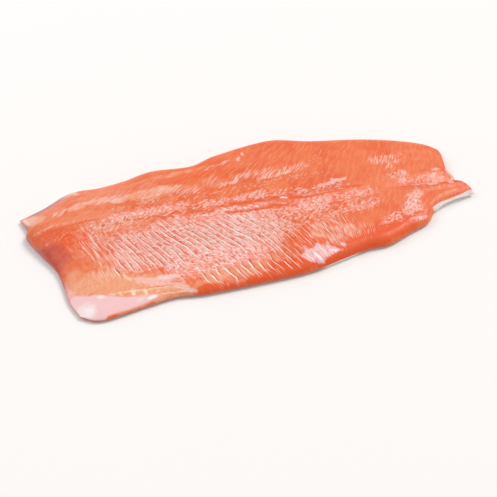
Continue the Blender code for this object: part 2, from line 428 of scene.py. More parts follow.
@dataclass(frozen=True)
class Form:
    """The shape of the fillet: its outline, and how thick it is from place to place.

    Curve points are fractions of half the length and half the width. The loin's, the midline's and the
    belly's heights are in millimetres above the table, at stations from the head cut (0) to the tail (1).
    Places and spans along the fillet are given in the same way as the stations.

    Attributes:
        low: The lowest corner of the flesh's box.
        high: Its highest corner.
        head_corner, head_tip: Ends of the head cut, at the belly and at the back.
        midline_head, midline_tail: Ends of the midline.
        tail_corner, back_corner: Ends of the tail end, at the belly and at the back.
        belly_edge, back_edge, midline: Points along the edges and the midline, from head to tail.
        head_cut_belly, head_cut_back: Points along the head cut, up to the midline and on from it.
        tail_end_belly, tail_end_back: Points along the tail end, in the same way.
        stations: Where along the fillet the heights are given.
        loin_height, midline_height, belly_height: Heights of the loin, the midline and the belly.
        edge_height: Height of the flesh's edge.
        skin_thickness: Thickness of the skin below the flesh.
        curl_reach: How far in from the edge the underside curls up.
        curve_steps: Steps between two points of a curve.
        belly_bow: How hollow the belly side is at the head cut, and by how much less at the tail.
        groove_depth: Depth of the groove along the midline.
        groove_reach: Half the groove's width.
        groove_at: The groove's middle, and half its length, along the fillet.
        lobe_span: Where the lobe parts from the rest at the tail.
        lobe_rise: How far the lobe stands up, and how far from the midline.
        lobe_drop: How far the fillet beside it sinks, and how far from the midline.
        full_span: Where the back edge turns from a bevel to a rounded shoulder.
        bevel: The bevel's reach and how strongly it bows.
        shoulders: Reach of the rounding at the head cut, the tail, the belly and the back.
    """

    low: Vector
    high: Vector
    head_corner: Point = (-0.826, -0.912)
    midline_head: Point = (-0.972, 0.150)
    head_tip: Point = (-1.000, 0.525)
    tail_corner: Point = (0.994, -0.375)
    midline_tail: Point = (0.945, -0.212)
    back_corner: Point = (0.972, 0.395)
    belly_edge: tuple[Point, ...] = (
        (-0.745, -1.000), (-0.560, -0.945), (-0.440, -0.915), (-0.310, -0.955), (-0.010, -0.965),
        (0.140, -0.950), (0.270, -0.890), (0.400, -0.830), (0.500, -0.825), (0.620, -0.725),
        (0.715, -0.645), (0.775, -0.510), (0.870, -0.408),
    )
    back_edge: tuple[Point, ...] = (
        (-0.895, 0.630), (-0.810, 0.745), (-0.730, 0.800), (-0.640, 0.765), (-0.520, 0.765),
        (-0.390, 0.815), (-0.215, 0.785), (-0.090, 0.885), (0.090, 0.970), (0.230, 0.990),
        (0.390, 0.880), (0.630, 0.780), (0.800, 0.660), (0.920, 0.525),
    )
    midline: tuple[Point, ...] = (
        (-0.830, 0.180), (-0.740, 0.165), (-0.640, 0.090), (-0.450, 0.040), (-0.100, -0.010),
        (0.200, -0.050), (0.420, -0.050), (0.600, -0.125), (0.740, -0.192),
    )
    head_cut_belly: tuple[Point, ...] = ((-0.857, -0.700), (-0.880, -0.320), (-0.930, -0.060))
    head_cut_back: tuple[Point, ...] = ((-0.985, 0.250), (-0.974, 0.340), (-0.988, 0.440))
    tail_end_belly: tuple[Point, ...] = ((0.996, -0.310), (0.980, -0.235))
    tail_end_back: tuple[Point, ...] = ((0.954, -0.070), (0.948, 0.020), (0.962, 0.150), (0.975, 0.290))
    stations: tuple[float, ...] = (0.00, 0.12, 0.30, 0.55, 0.75, 0.88, 1.00)
    loin_height: tuple[float, ...] = (18.0, 22.5, 24.5, 23.5, 18.5, 14.0, 9.0)
    midline_height: tuple[float, ...] = (18.5, 21.0, 21.0, 19.5, 16.0, 12.5, 10.0)
    belly_height: tuple[float, ...] = (5.5, 6.5, 9.0, 10.5, 10.5, 9.5, 8.5)
    edge_height: float = 3.4 * MM
    skin_thickness: float = 1.0 * MM
    curl_reach: float = 6.0 * MM
    curve_steps: int = 40
    belly_bow: Point = (1.35, 0.60)
    groove_depth: float = 1.6 * MM
    groove_reach: float = 5 * MM
    groove_at: Point = (0.59, 0.19)
    lobe_span: Point = (0.80, 0.90)
    lobe_rise: Point = (2.2 * MM, 16 * MM)
    lobe_drop: Point = (4.2 * MM, 22 * MM)
    full_span: Point = (0.08, 0.32)
    bevel: Point = (42 * MM, 1.7)
    shoulders: tuple[float, ...] = (28 * MM, 4 * MM, 10 * MM, 17 * MM)

    def curve(self, start: Point, points: tuple[Point, ...], end: Point, fractions: Array) -> Array:
        """Run a smooth curve through points.

        Args:
            start: The curve's first point.
            points: The points between.
            end: The curve's last point.
            fractions: Where on the curve's length to read it.

        Returns:
            The place of each reading.
        """
        knots = np.array([start, *points, end]) * (PLAN_LENGTH / 2, PLAN_WIDTH / 2)
        padded = np.vstack([2 * knots[0] - knots[1], knots, 2 * knots[-1] - knots[-2]])
        t = np.linspace(0, 1, self.curve_steps, endpoint=False)[:, None]
        runs = []
        for a, b, c, d in zip(padded, padded[1:], padded[2:], padded[3:]):
            cubic = 2 * b + (c - a) * t + (2 * a - 5 * b + 4 * c - d) * t**2 + (3 * b - a - 3 * c + d) * t**3
            runs.append(0.5 * cubic)
        dense = np.vstack(runs + [knots[-1:]])
        steps = np.linalg.norm(np.diff(dense, axis=0), axis=1)
        travelled = np.concatenate([[0.0], np.cumsum(steps)]) / steps.sum()
        return np.column_stack([np.interp(fractions, travelled, dense[:, k]) for k in (0, 1)])

    @staticmethod
    def patch(low: Array, high: Array, start: Array, end: Array, along: Array, across: Array) -> Array:
        """Fill the space between four edge curves with a grid (a Coons patch).

        Args:
            low: The edge at the grid's low side, one point for each line along.
            high: The edge at the grid's high side.
            start: The edge at the grid's start, one point for each line across.
            end: The edge at the grid's end.
            along: Fractions of the lines along.
            across: Fractions of the lines across.

        Returns:
            The place of each grid point.
        """
        u, v = along[:, None, None], across[None, :, None]
        ruled = (1 - v) * low[:, None] + v * high[:, None] + (1 - u) * start[None] + u * end[None]
        return ruled - (1 - u) * ((1 - v) * low[0] + v * high[0]) - u * ((1 - v) * low[-1] + v * high[-1])

    def plan(self, spacing: Spacing) -> Plan:
        """Lay a grid over the whole fillet, fitted to the box.

        Args:
            spacing: How fine the grid is.

        Returns:
            The grid.
        """
        along, side = spacing.along(), spacing.across()
        midline = self.curve(self.midline_head, self.midline, self.midline_tail, along)
        belly_half = self.patch(
            self.curve(self.head_corner, self.belly_edge, self.tail_corner, along), midline,
            self.curve(self.head_corner, self.head_cut_belly, self.midline_head, side),
            self.curve(self.tail_corner, self.tail_end_belly, self.midline_tail, side), along, side,
        )
        back_half = self.patch(
            midline, self.curve(self.head_tip, self.back_edge, self.back_corner, along),
            self.curve(self.midline_head, self.head_cut_back, self.head_tip, side),
            self.curve(self.midline_tail, self.tail_end_back, self.back_corner, side), along, side,
        )
        grid = np.concatenate([belly_half, back_half[:, 1:]], axis=1)
        low, high = grid.reshape(-1, 2).min(axis=0), grid.reshape(-1, 2).max(axis=0)
        box_low, box_high = np.array(self.low[:2]), np.array(self.high[:2])
        fitted = box_low + (grid - low) / (high - low) * (box_high - box_low)
        return Plan(fitted, along, len(side) - 1)

    def top_height(self, plan: Plan) -> Array:
        """Work out the height of the flesh's upper surface.

        Args:
            plan: The grid.

        Returns:
            The height at each grid point.
        """
        at = plan.along[:, None]
        loin, midline, belly = (
            np.interp(plan.along, self.stations, heights)[:, None] * MM
            for heights in (self.loin_height, self.midline_height, self.belly_height)
        )
        side = np.clip(plan.belly / plan.belly[:, plan.middle:plan.middle + 1], 0, 1)
        belly_side = belly + (midline - belly) * side ** (self.belly_bow[0] - self.belly_bow[1] * at)
        rise = hump(plan.midline / plan.midline[:, -1:] - 0.5, 0.5)
        height = np.where(plan.midline > 0, midline + (loin - midline) * rise, belly_side)
        groove = hump(plan.midline, self.groove_reach) * hump(at - self.groove_at[0], self.groove_at[1])
        height = height - self.groove_depth * groove
        (up, up_reach), (down, down_reach) = self.lobe_rise, self.lobe_drop
        over = np.where(plan.midline <= 0, hump(plan.midline, up_reach), 0)
        under = np.where(plan.midline > 0, hump(plan.midline, down_reach), 0)
        height = height + ease(at, *self.lobe_span) * (up * over - down * under)
        full = ease(at, *self.full_span)
        reach, power = self.bevel
        bevel = 1 - (1 - np.clip(plan.back / reach, 0, 1)) ** power
        edges = (plan.head, plan.tail, plan.belly, plan.back)
        head, tail, belly, back = (self.shoulder(*pair) for pair in zip(edges, self.shoulders))
        rounded = head * tail * belly * (full * back + (1 - full) * bevel)
        return self.edge_height + (height - self.edge_height) * rounded

    @staticmethod
    def shoulder(distance: Array, reach: float) -> Array:
        """Rise as a quarter ellipse, from 0 at the edge to 1 at reach."""
        return np.sqrt(1 - (1 - np.clip(distance / reach, 0, 1)) ** 2)

    def under_height(self, plan: Plan) -> Array:
        """Work out the height of the flesh's underside, whose edge curls up, at each grid point."""
        inward = np.clip(plan.edge / self.curl_reach, 0, 1)
        return self.skin_thickness + (self.edge_height - self.skin_thickness) * (1 - inward) ** 2


@dataclass(frozen=True)
class Flakes:
    """How the flakes' seams (septa) run: each leans tailward as it goes from the midline to an edge.

    All lengths are in millimetres.

    Attributes:
        places: Where on the midline a lean and a pitch are given.
        pitch: The distance between seams at those places.
        belly_lean: How far a seam that starts there has moved tailward at the belly.
        back_lean: The same at the back edge.
        belly_reach: How deep below the midline the belly lean is given for.
        back_reach: How high above the midline the back lean is given for.
        sway: How much more a seam leans in its upper part than in its lower part.
        sway_from: How deep a seam leans as much as without the sway, as a share of the belly's depth.
        rounds: How often the place where a seam starts is worked out again, to settle it.
    """

    places: tuple[float, ...] = (-230, -190, -155, -115, -75, -40, -10, 25, 50, 85, 110, 150, 230)
    pitch: tuple[float, ...] = (8, 6.5, 5.4, 6.0, 7.6, 8.8, 8.8, 8, 7.6, 7, 6.5, 6.5, 8)
    belly_lean: tuple[float, ...] = (20, 30, 40, 50, 58, 57, 45, 33, 18, 2, -18, -35, -40)
    back_lean: tuple[float, ...] = (88, 88, 86, 84, 80, 74, 68, 60, 54, 48, 44, 40, 38)
    belly_reach: float = 90.0
    back_reach: float = 80.0
    sway: float = 0.40
    sway_from: float = 0.3
    rounds: int = 16

    def count_of(self, x: Array, depth: Array) -> Array:
        """Count the flakes from the head to each point.

        Args:
            x: The points' places along the plan.
            depth: How far each point lies below the midline.

        Returns:
            The number of flakes, with a seam at each whole number.
        """
        fall = np.clip(depth / self.belly_reach, 0, None)
        wave = np.sin(2 * np.pi * (fall - self.sway_from)) + np.sin(2 * np.pi * self.sway_from)
        fall = fall + self.sway / (2 * np.pi) * wave
        climb = np.clip(-depth / self.back_reach, 0, None)
        start = x
        for _ in range(self.rounds):
            belly_shift = np.interp(start, self.places, self.belly_lean) * fall
            back_shift = np.interp(start, self.places, self.back_lean) * climb
            start = x - np.where(depth > 0, belly_shift, back_shift)
        rate = 1 / np.array(self.pitch)
        counts = np.concatenate([[0.0], np.cumsum(np.diff(self.places) * (rate[:-1] + rate[1:]) / 2)])
        return np.interp(start, self.places, counts)


# Where each look lies on the flesh: the shapes' places and sizes are in millimetres on the plan, and a
# strength is the share of the surface that the look takes there.
COVERS: dict[Zone, tuple[Shape, ...]] = {
    # Deep orange: bare wet muscle along the belly edge, near the midline and at the head.
    Zone.DEEP: (
        Ribbon(((-95, -96), (-55, -94), (-20, -92), (20, -90), (60, -86), (100, -77), (140, -66),
               (172, -53)), 9, 1, 30),
        Patch((8, -85), (30, 9), 0.7), Patch((118, -68), (38, 15), 1, 24),
        Patch((108, -74), (26, 10), 0.6, 20), Patch((30, -62), (20, 16), 0.5, 60),
        Patch((205, -30), (24, 8), 0.28, 10),
        Ribbon(((-168, -101), (-150, -99), (-135, -97), (-120, -94.5), (-100, -93)), 2.2, 0.7, 5),
        Patch((-192, 0), (36, 19), 0.6, -8), Patch((-166, -14), (20, 18), 0.4),
        Patch((-105, -16), (9, 8), 0.6, -50), Patch((-140, -30), (6, 7), 0.7, -60),
        Patch((-98, -63), (16, 3.5), 0.6, -8), Patch((-83, -70), (12, 6), 0.5, -50),
        Patch((183, -13), (30, 3), 0.8, -3), Patch((70, 8), (60, 8), 0.25), Patch((83, -28), (9, 9), 0.45),
        Patch((86, -44), (14, 6), 0.35), Patch((-50, 52), (40, 8), 0.35),
    ),
    # Vivid lines: deeper orange muscle along the midline and beside it, with painted shade in its groove, in
    # the cleft at the tail and under the cream line at the head.
    Zone.GROOVE: (
        Patch((108, -74), (30, 8), 0.45, 24), Patch((132, -61), (28, 9), 0.32, 26),
        Ribbon(((46, -93), (60, -90), (80, -86), (100, -80)), 3, 0.6, 8),
        Ribbon(((-38, 0), (-20, 0), (-5, -1), (15, -1), (30, -1), (38, -3)), 1.9, 1, 6),
        Ribbon(((34, -4), (42, -6), (52, -7.5), (64, -7), (78, -5.5)), 2.6, 1, 6),
        Ribbon(((70, -5), (95, -3), (120, -5)), 1.8, 0.8, 10),
        Ribbon(((-60, -6), (-45, -5), (-38, -3)), 1.3, 0.7, 6),
        Ribbon(((-36, -9), (-22, -11), (-8, -13), (8, -13.5), (24, -14), (38, -17), (46, -22)),
               2.1, 0.9, 8),
        Ribbon(((-130, 4), (-112, 3), (-98, 1)), 1.6, 0.6, 8),
        Ribbon(((-90, 4), (-82, 3), (-74, 3)), 2, 0.8, 4),
        Ribbon(((-72, -1), (-60, -2), (-48, -3)), 1.3, 0.6, 5),
        Ribbon(((-170, 26), (-110, 27), (-40, 25), (20, 26), (60, 27)), 2, 0.22, 30),
        Ribbon(((-222, 12), (-200, 12), (-185, 14), (-165, 15), (-150, 13)), 1.8, 0.6, 10),
        Ribbon(((152, -16), (166, -18.6), (180, -19.8), (212, -20.4)), 1.2, 0.9, 5),
    ),
    # Painted shade: darker red where the head cut rolls down away from the light, in the midline's groove,
    # and in small creases at the tail.
    Zone.SHADE: (
        Ribbon(((-219, 4), (-210, -14), (-204, -28), (-200, -42)), 7, 0.65, 16),
        Patch((-201, -18), (15, 24), 0.6, 14), Ribbon(((40, -6), (48, -7.5), (62, -8)), 2.2, 0.8, 5),
        Ribbon(((158, -15), (166, -12.5), (174, -11)), 1, 0.6, 4),
        Ribbon(((152, -16.5), (168, -18.8)), 0.9, 0.6, 4),
        Ribbon(((207, 0), (208, -6), (208, -14)), 1, 0.5, 3), Ribbon(((186, 4), (198, 4.5)), 1.6, 0.35, 4),
    ),
    # Peach: thin pale muscle above the flap, along the belly and at the head's tip.
    Zone.PEACH: (
        Patch((-168, -62), (32, 16), 0.9), Patch((-140, -72), (32, 12), 1),
        Patch((-213, 40), (9, 14), 0.9, 10), Patch((-224, 48), (8, 9), 0.9),
        Patch((-120, -85), (38, 5), 1, -8), Patch((-186, -48), (14, 12), 0.45, 20),
        Patch((-150, -48), (22, 18), 0.5), Patch((-70, -72), (34, 9), 0.5, -4),
        Patch((-20, -78), (44, 8), 0.38), Patch((-50, -86), (40, 9), 0.55),
        Ribbon(((-158, -101), (-140, -97), (-122, -93.5), (-102, -93.5), (-84, -97)), 2.6, 0.75, 5),
        Ribbon(((-190, 36), (-160, 38), (-110, 35), (-64, 35)), 6, 0.6, 8),
        Patch((-60, 60), (40, 5), 0.4, 6),
    ),
    # Paler salmon: the upper loin near the head, and the tail.
    Zone.PALE: (
        Patch((-125, 50), (60, 18), 0.42), Patch((-168, -14), (24, 26), 0.6),
        Patch((-135, 5), (46, 12), 0.7), Patch((-165, 20), (44, 11), 0.6), Patch((-115, 20), (70, 12), 0.2),
        Patch((-205, 40), (24, 20), 0.44),
        Ribbon(((-185, 32), (-150, 33), (-100, 32), (-60, 32), (-20, 35), (20, 36), (65, 36)), 6, 0.35, 20),
        Patch((155, 28), (24, 12), 0.3, -6), Patch((195, 30), (26, 16), 0.3),
        Patch((137, -8), (24, 26), 0.3),
    ),
    # Milky pink film over the flakes, partly painted sheen of the wet surface.
    Zone.FILM: (
        Patch((-126, -32), (29, 32), 0.75), Patch((-84, -42), (36, 42), 0.9),
        Patch((-38, -40), (38, 38), 1), Patch((-3, -36), (24, 32), 0.85), Patch((28, -20), (22, 11), 0.4),
        Patch((56, -19), (25, 11), 0.54, -6), Patch((77, -14), (13, 5), 0.46, 8),
        Patch((104, -24), (24, 15), 0.22, -8), Patch((108, -13), (24, 7), 0.36),
        Patch((108, -35), (23, 7), 0.44, 4), Patch((66, -36), (24, 8), 0.18),
        Patch((90, 8), (20, 5), 0.36, 8), Patch((-166, -12), (22, 26), 0.22),
        Patch((-66, -66), (32, 14), 0.6), Patch((-22, -68), (30, 12), 0.6),
        Ribbon(((-150, 12), (-128, 13), (-100, 11), (-60, 8)), 5.5, 0.75, 14),
        Ribbon(((-60, 4), (-35, 6), (0, 7), (25, 5)), 3.5, 0.55, 14),
        Ribbon(((-116, -8), (-80, -7), (-42, -6)), 5.5, 0.6, 12),
        Ribbon(((-42, -6), (-20, -6), (5, -7), (24, -7.5)), 3, 0.95, 8),
        Patch((161, -38), (9, 22), 0.75, -34), Patch((132, -57), (22, 6), 0.3, 20),
        Patch((-105, -75), (13, 6), 0.6, -4),
    ),
    # Fine pale strands that run along the flakes.
    Zone.STRAND: (
        Patch((-166, -8), (20, 26), 0.24), Patch((-150, -46), (26, 20), 0.36),
        Patch((-176, -58), (20, 14), 0.14), Patch((-125, -30), (26, 30), 0.3),
        Patch((-60, -50), (60, 34), 0.25), Patch((20, -55), (40, 30), 0.24),
        Patch((68, -58), (28, 22), 0.45), Patch((96, -66), (18, 10), 0.22),
        Ribbon(((-80, -88), (-20, -88), (30, -88)), 8, 0.3, 20), Patch((-115, -73), (18, 7), 0.4),
    ),
    # Rows of fine slanting fat lines on the loin.
    Zone.STREAK: (
        Ribbon(((-200, 33), (-168, 38), (-140, 38), (-116, 37)), 6, 0.52, 8),
        Ribbon(((-110, 35), (-90, 35), (-60, 36)), 6, 0.42, 8),
        Ribbon(((-118, 27), (-80, 27), (-42, 28)), 3.5, 0.3, 8), Ribbon(((-66, 33), (-46, 33)), 4, 0.35, 6),
        Patch((-35, 37), (9, 6), 0.35), Ribbon(((-33, 29), (-8, 30)), 3.2, 0.55, 4),
        Ribbon(((-18, 28), (-4, 34), (10, 42)), 5.5, 0.5, 5),
        Ribbon(((8, 34), (30, 34), (55, 36), (76, 40)), 7.5, 0.42, 8),
        Ribbon(((10, 28), (40, 31), (56, 33)), 2.6, 0.45, 6), Patch((154, 27), (22, 13), 0.43, -10),
        Patch((175, 30), (18, 8), 0.15, -6), Ribbon(((-40, 60), (-20, 63), (0, 68)), 2, 0.35, 6),
        Patch((20, 58), (50, 12), 0.12), Patch((-85, 56), (22, 4), 0.18), Patch((-140, 48), (60, 10), 0.22),
    ),
    # Where the seams between the flakes show as white lines.
    Zone.SEPTA: (
        Patch((-166, -14), (14, 20), 0.45), Patch((-142, -34), (26, 30), 0.75),
        Patch((-94, -34), (44, 32), 0.92), Patch((-35, -36), (44, 28), 0.92),
        Patch((12, -60), (28, 30), 0.75), Patch((56, -64), (24, 22), 0.5), Patch((85, -66), (24, 14), 0.35),
        Ribbon(((-82, -80), (-40, -83), (0, -84), (26, -85)), 9.5, 0.85, 14),
        Patch((20, 60), (80, 22), 0.15),
    ),
    # Where those lines are broad.
    Zone.BROAD: (
        Ribbon(((-84, -80), (-50, -82), (-14, -81)), 8, 0.55, 12), Patch((-165, -14), (20, 22), 0.5),
        Patch((-18, -52), (18, 10), 0.6, -50), Patch((-74, -20), (30, 8), 0.3, -10),
        Patch((-46, -42), (54, 30), 0.4),
    ),
    # Fine pale flecks.
    Zone.FLECK: (
        Patch((-130, 52), (64, 12), 0.1), Patch((60, -19), (24, 13), 0.34, -12),
        Patch((30, -34), (26, 22), 0.28), Patch((104, -26), (26, 19), 0.36),
        Patch((66, -37), (26, 10), 0.3), Patch((161, -38), (9, 22), 0.5, -34),
        Patch((132, -56), (24, 8), 0.4, 20), Patch((200, -7), (17, 8), 0.35),
        Patch((178, -8), (18, 7), 0.34), Patch((160, 2), (10, 9), 0.45),
        Ribbon(((-120, 27), (-80, 27), (-40, 28)), 4, 0.22, 12),
        Ribbon(((-150, 22), (-110, 20), (-60, 18), (-10, 19), (60, 23), (96, 20)), 6, 0.22, 20),
        Ribbon(((-170, 8), (-120, 6), (-70, 5), (-20, 7), (30, 5), (60, 2), (110, 0)), 6, 0.38, 20),
        Patch((-142, -8), (30, 14), 0.25), Patch((-140, 4), (36, 8), 0.25),
        Patch((-30, -30), (80, 28), 0.14), Patch((2, -40), (28, 26), 0.22), Patch((-196, 3), (22, 8), 0.16),
        Patch((86, 44), (14, 9), 0.16), Patch((166, 3), (8, 8), 0.35), Patch((164, -6), (9, 4), 0.35),
    ),
    # The belly flap: a smooth whitish lining.
    Zone.FLAP: (
        Sheet(((-192, -68), (-186, -70.5), (-178, -73), (-166, -76), (-158, -79), (-148, -83), (-140, -85),
               (-128, -87), (-116, -88.5)), ((-192, -130), (-176, -110), (-166, -100), (-150, -98),
               (-140, -96.6), (-130, -94.4), (-120, -91.5), (-116, -90)), 2.2),
        Patch((-191, -80), (7, 17), 0.9, 14), Ribbon(((-202, -46), (-198, -58), (-193, -72)), 4.5, 0.5, 8),
    ),
    # Cream lines of fat, most of them along the flap.
    Zone.CREAM: (
        Ribbon(((-120, 31), (-104, 30), (-86, 31)), 1.5, 0.35, 6),
        Ribbon(((46, -4), (60, -4.8), (76, -4.6), (98, -4)), 0.9, 0.34, 6),
        Ribbon(((-166, -76), (-156, -77.5), (-148, -77.5), (-139, -78.5), (-128, -80.5), (-116, -81.5),
               (-104, -83), (-92, -89), (-83, -94)), 1.2, 0.55, 6),
        Ribbon(((-118, -88.5), (-106, -89.5), (-94, -91), (-82, -94.5)), 0.9, 0.7, 4),
        Patch((-139, -80.5), (2.4, 5), 0.75, 6), Patch((-128, -83), (2.2, 4.6), 0.75, 4),
        Patch((-150, -80.5), (1.6, 4), 0.35, 8), Patch((-117, -85), (1.6, 3.6), 0.3),
        Ribbon(((-145, -56), (-141, -63), (-136, -67)), 1.6, 0.5, 3),
        Ribbon(((-223, 18), (-210, 16.5), (-200, 17.5), (-188, 18.5), (-168, 17)), 1.5, 0.28, 8),
    ),
    # Painted gloss: whitish highlights on a wet patch near the belly edge.
    Zone.GLOSS: (
        Sheet(((23, -81), (30, -76.5), (38, -75), (43, -70.5), (50, -75), (57, -78), (65, -84)), ((23, -83),
               (26, -88), (32, -92.5), (38, -94), (42, -94.5), (48, -90), (55, -87), (65, -84.5)), 2, 0.68),
        Patch((30, -73), (2.5, 6), 0.5, 20), Patch((53, -74), (2.5, 6), 0.5, 16),
        Patch((67, -78), (5, 3), 0.6, -40), Patch((69, -66), (2, 5), 0.5, 20),
        Patch((157, -64), (11, 2.6), 0.5, 16),
    ),
    # White: painted highlights on the wettest spots, and the skin's white cut edge at the tail.
    Zone.WHITE: (
        Patch((-105, -71), (11, 3.2), 0.55, -4), Patch((-123, -90), (6, 2), 1, 8),
        Patch((-134, -90.5), (6, 2.4), 0.35, 8), Patch((-168, -77.5), (4.5, 2.6), 0.75, -12),
        Patch((-183, -87), (10, 9), 0.5, -30), Ribbon(((-189, -85), (-184, -91), (-174, -96)), 5.5, 0.9, 9),
        Ribbon(((36, -79), (38, -85), (42, -93)), 1.9, 0.85, 4),
        Ribbon(((28, -79), (30, -85), (35, -91)), 1.5, 0.6, 4),
        Ribbon(((43, -74), (46, -80), (50, -87)), 1.5, 0.6, 4),
        Ribbon(((51, -81), (55, -83), (62, -84.5)), 1.4, 0.7, 3),
        Ribbon(((27, -2.2), (32, -3), (37, -4)), 1.1, 0.75, 3), Patch((190, -21.6), (7, 1.1), 0.42, -2),
        Patch((210, -22.4), (4, 1.1), 0.46, -8), Patch((192, -15), (7, 1.5), 0.45, -3),
        Ribbon(((216, -2), (219, 4), (222, 10)), 1.1, 0.45, 5),
        Ribbon(((175, -53), (183, -48.5), (191, -45), (204, -41.2), (218, -38.8), (231, -36)), 1.9, 0.9, 5),
        Patch((229.5, -38.5), (3, 2.2), 0.9), Patch((-224, 47), (3, 7), 0.45, 20),
    ),
    # Painted sheen: pink highlights on the wet surface, and pale tissue and the cut edge at the tail.
    Zone.SHEEN: (
        Patch((-221, 45), (9, 11), 0.62, 10),
        Sheet(((-142, -60), (-135, -65), (-120, -67.5), (-105, -69), (-93, -69.5)), ((-142, -62),
               (-137, -68), (-126, -73), (-116, -79.5), (-106, -81.5), (-99, -77), (-93, -71)), 1.5, 0.82),
        Ribbon(((-106, -79), (-98, -83), (-91, -88), (-82, -95)), 2.6, 0.75, 4),
        Ribbon(((-97, -75), (-90, -85), (-82, -94)), 1.5, 0.5, 3), Patch((152, -61.5), (12, 3.5), 0.5, 18),
        Ribbon(((64, 3), (76, 6.5), (90, 9), (108, 11.5)), 3, 0.56, 8), Patch((93, 9), (14, 4), 0.35, 8),
        Patch((2, 66), (6, 3), 0.6, 50), Patch((10, 73), (4, 3.5), 0.8, 60),
        Ribbon(((-148, 38), (-140, 36), (-128, 32), (-118, 31)), 2.6, 0.5, 10),
        Ribbon(((-192, 66), (-184, 70), (-174, 76), (-164, 79)), 4.5, 0.75, 8),
        Patch((-170, 68), (11, 3), 0.6, -60), Patch((-20, -52), (18, 7), 0.5, -52),
        Patch((-48, -58), (14, 10), 0.35, -40), Patch((-36, -24), (20, 8), 0.35, -20),
        Patch((-74, -52), (16, 10), 0.3, -40),
        Ribbon(((216, -18), (216, -12), (217, -6), (218.5, 1)), 2.4, 0.8, 4),
        Ribbon(((196, 1), (205, 3), (212, 2)), 3, 0.8, 5), Patch((197, -9), (7, 5), 0.62, 35),
        Patch((206, -11), (5, 4), 0.5, 30), Ribbon(((186, -15), (198, -15.5), (210, -17)), 1.8, 0.5, 6),
        Patch((167, 4.5), (5, 6), 0.55, -20), Patch((163, -6), (6, 3.4), 0.5, -10),
        Ribbon(((170, -14), (180, -14), (188, -15)), 1.8, 0.45, 5),
    ),
    # Purple-grey rim along the head cut and the back edge near it: the skin's edge, with painted shade.
    Zone.RIM: (
        Ribbon(((-221, 12), (-213, -10), (-206, -28), (-201, -46), (-197, -60)), 3, 0.7, 10),
        Ribbon(((-226, 57), (-212, 60), (-202, 63), (-190, 70), (-178, 78)), 8, 0.8, 12),
        Patch((-203, 60), (8, 6), 0.45, 20),
        Ribbon(((-229, 52), (-224, 38), (-226, 25), (-222, 12)), 1.8, 0.6, 4),
    ),
}


@dataclass(frozen=True)
class Ruffle:
    """Waves of many sizes and directions, which shift the edges of the looks unevenly.

    Attributes:
        seed: The seed of the waves' directions.
        wavelengths: The waves' lengths, in millimetres.
        height: A wave's height, as a share of its length.
        bend: How strongly the waves so far bend the next one.
    """

    seed: int
    wavelengths: tuple[float, ...] = (31.0, 22.0, 16.0, 12.0, 9.0, 7.0, 5.5)
    height: float = 0.055
    bend: float = 0.6

    def shift(self, x: Array, y: Array) -> Array:
        """Add the waves up.

        Args:
            x: The points' places along the plan, in millimetres.
            y: The points' places across the plan, in millimetres.

        Returns:
            The shift at each point, in millimetres.
        """
        random = np.random.default_rng(self.seed)
        total = np.zeros(x.shape)
        for length in self.wavelengths:
            turn, start = random.uniform(0, 2 * np.pi, 2)
            place = (x + self.bend * total) * np.cos(turn) + y * np.sin(turn)
            total = total + self.height * length * np.sin(2 * np.pi * place / length + start)
        return total


# The shifts along and across the plan, and the share of the second that is used.
RUFFLES = (Ruffle(1), Ruffle(2))
RUFFLE_ACROSS = 0.7


def paint(x: Array, y: Array) -> dict[Zone, Array]:
    """Lay every shape on the flesh, with uneven edges.

    Args:
        x: The points' places along the plan, in millimetres.
        y: The points' places across the plan, in millimetres.

    Returns:
        The cover of each zone at each point, from 0 to 1.
    """
    uneven = (x + RUFFLES[0].shift(x, y), y + RUFFLE_ACROSS * RUFFLES[1].shift(x, y))
    covers = {}
    for zone in Zone:
        places = (x, y) if zone in CLEAN_ZONES else uneven
        bare = np.ones(x.shape)
        for shape in COVERS[zone]:
            bare *= 1 - shape.cover(*places)
        covers[zone] = 1 - bare
    return covers


@dataclass(frozen=True)
class Noise:
    """The size and direction of a noise.

    Attributes:
        length: Length of its cells, in millimetres.
        width: Width of its cells, in millimetres.
        turn: Direction of their length, in degrees from X.
        on_flakes: Whether it follows the flakes, with its length along their seams.
    """

    length: float
    width: float
    turn: float = 0.0
    on_flakes: bool = False


class Grain(Enum):
    """A noise that breaks a tint up."""

    CLOUD = Noise(26.0, 26.0)
    DRIFT = Noise(11.0, 7.0, 10.0)
    MOTTLE = Noise(3.8, 2.8, 30.0)
    SPECK = Noise(4.4, 1.9, 24.0)
    GLINT = Noise(3.6, 2.0, -24.0)
    HAIR = Noise(6.5, 1.6, 56.0)
    FIBRE = Noise(16.0, 1.8, 4.0)
    STRAND = Noise(11.0, 1.8, 0.0, True)
    SLIVER = Noise(7.0, 2.2, 0.0, True)
    SHRED = Noise(13.0, 4.5, 0.0, True)
    BREAK = Noise(16.0, 7.0, 0.0, True)
    BRISTLE = Noise(10.0, 2.3, 0.0, True)


Grains = dict[Grain, bpy.types.Node]

# Nearly all of a noise lies between these values, which are spread to 0 and 1.
NOISE_LOW, NOISE_HIGH = 0.36, 0.64
# How far each noise is shifted from the one before, along X and Y, so that no two have the same cells.
NOISE_SHIFT = (0.37, 0.61)


@dataclass(frozen=True)
class Tint:
    """A colour that a zone adds to the flesh.

    Attributes:
        zone: Where it lies. The zone's cover is the part of the surface that the tint takes.
        colour: Its sRGB colour.
        grain: The noise that breaks it up.
        soft: How soft its broken edges are.
        most: How much it hides of the colour below.
        share: How much of the zone's cover it takes.
    """

    zone: Zone
    colour: str
    grain: Grain
    soft: float
    most: float = 1.0
    share: float = 1.0


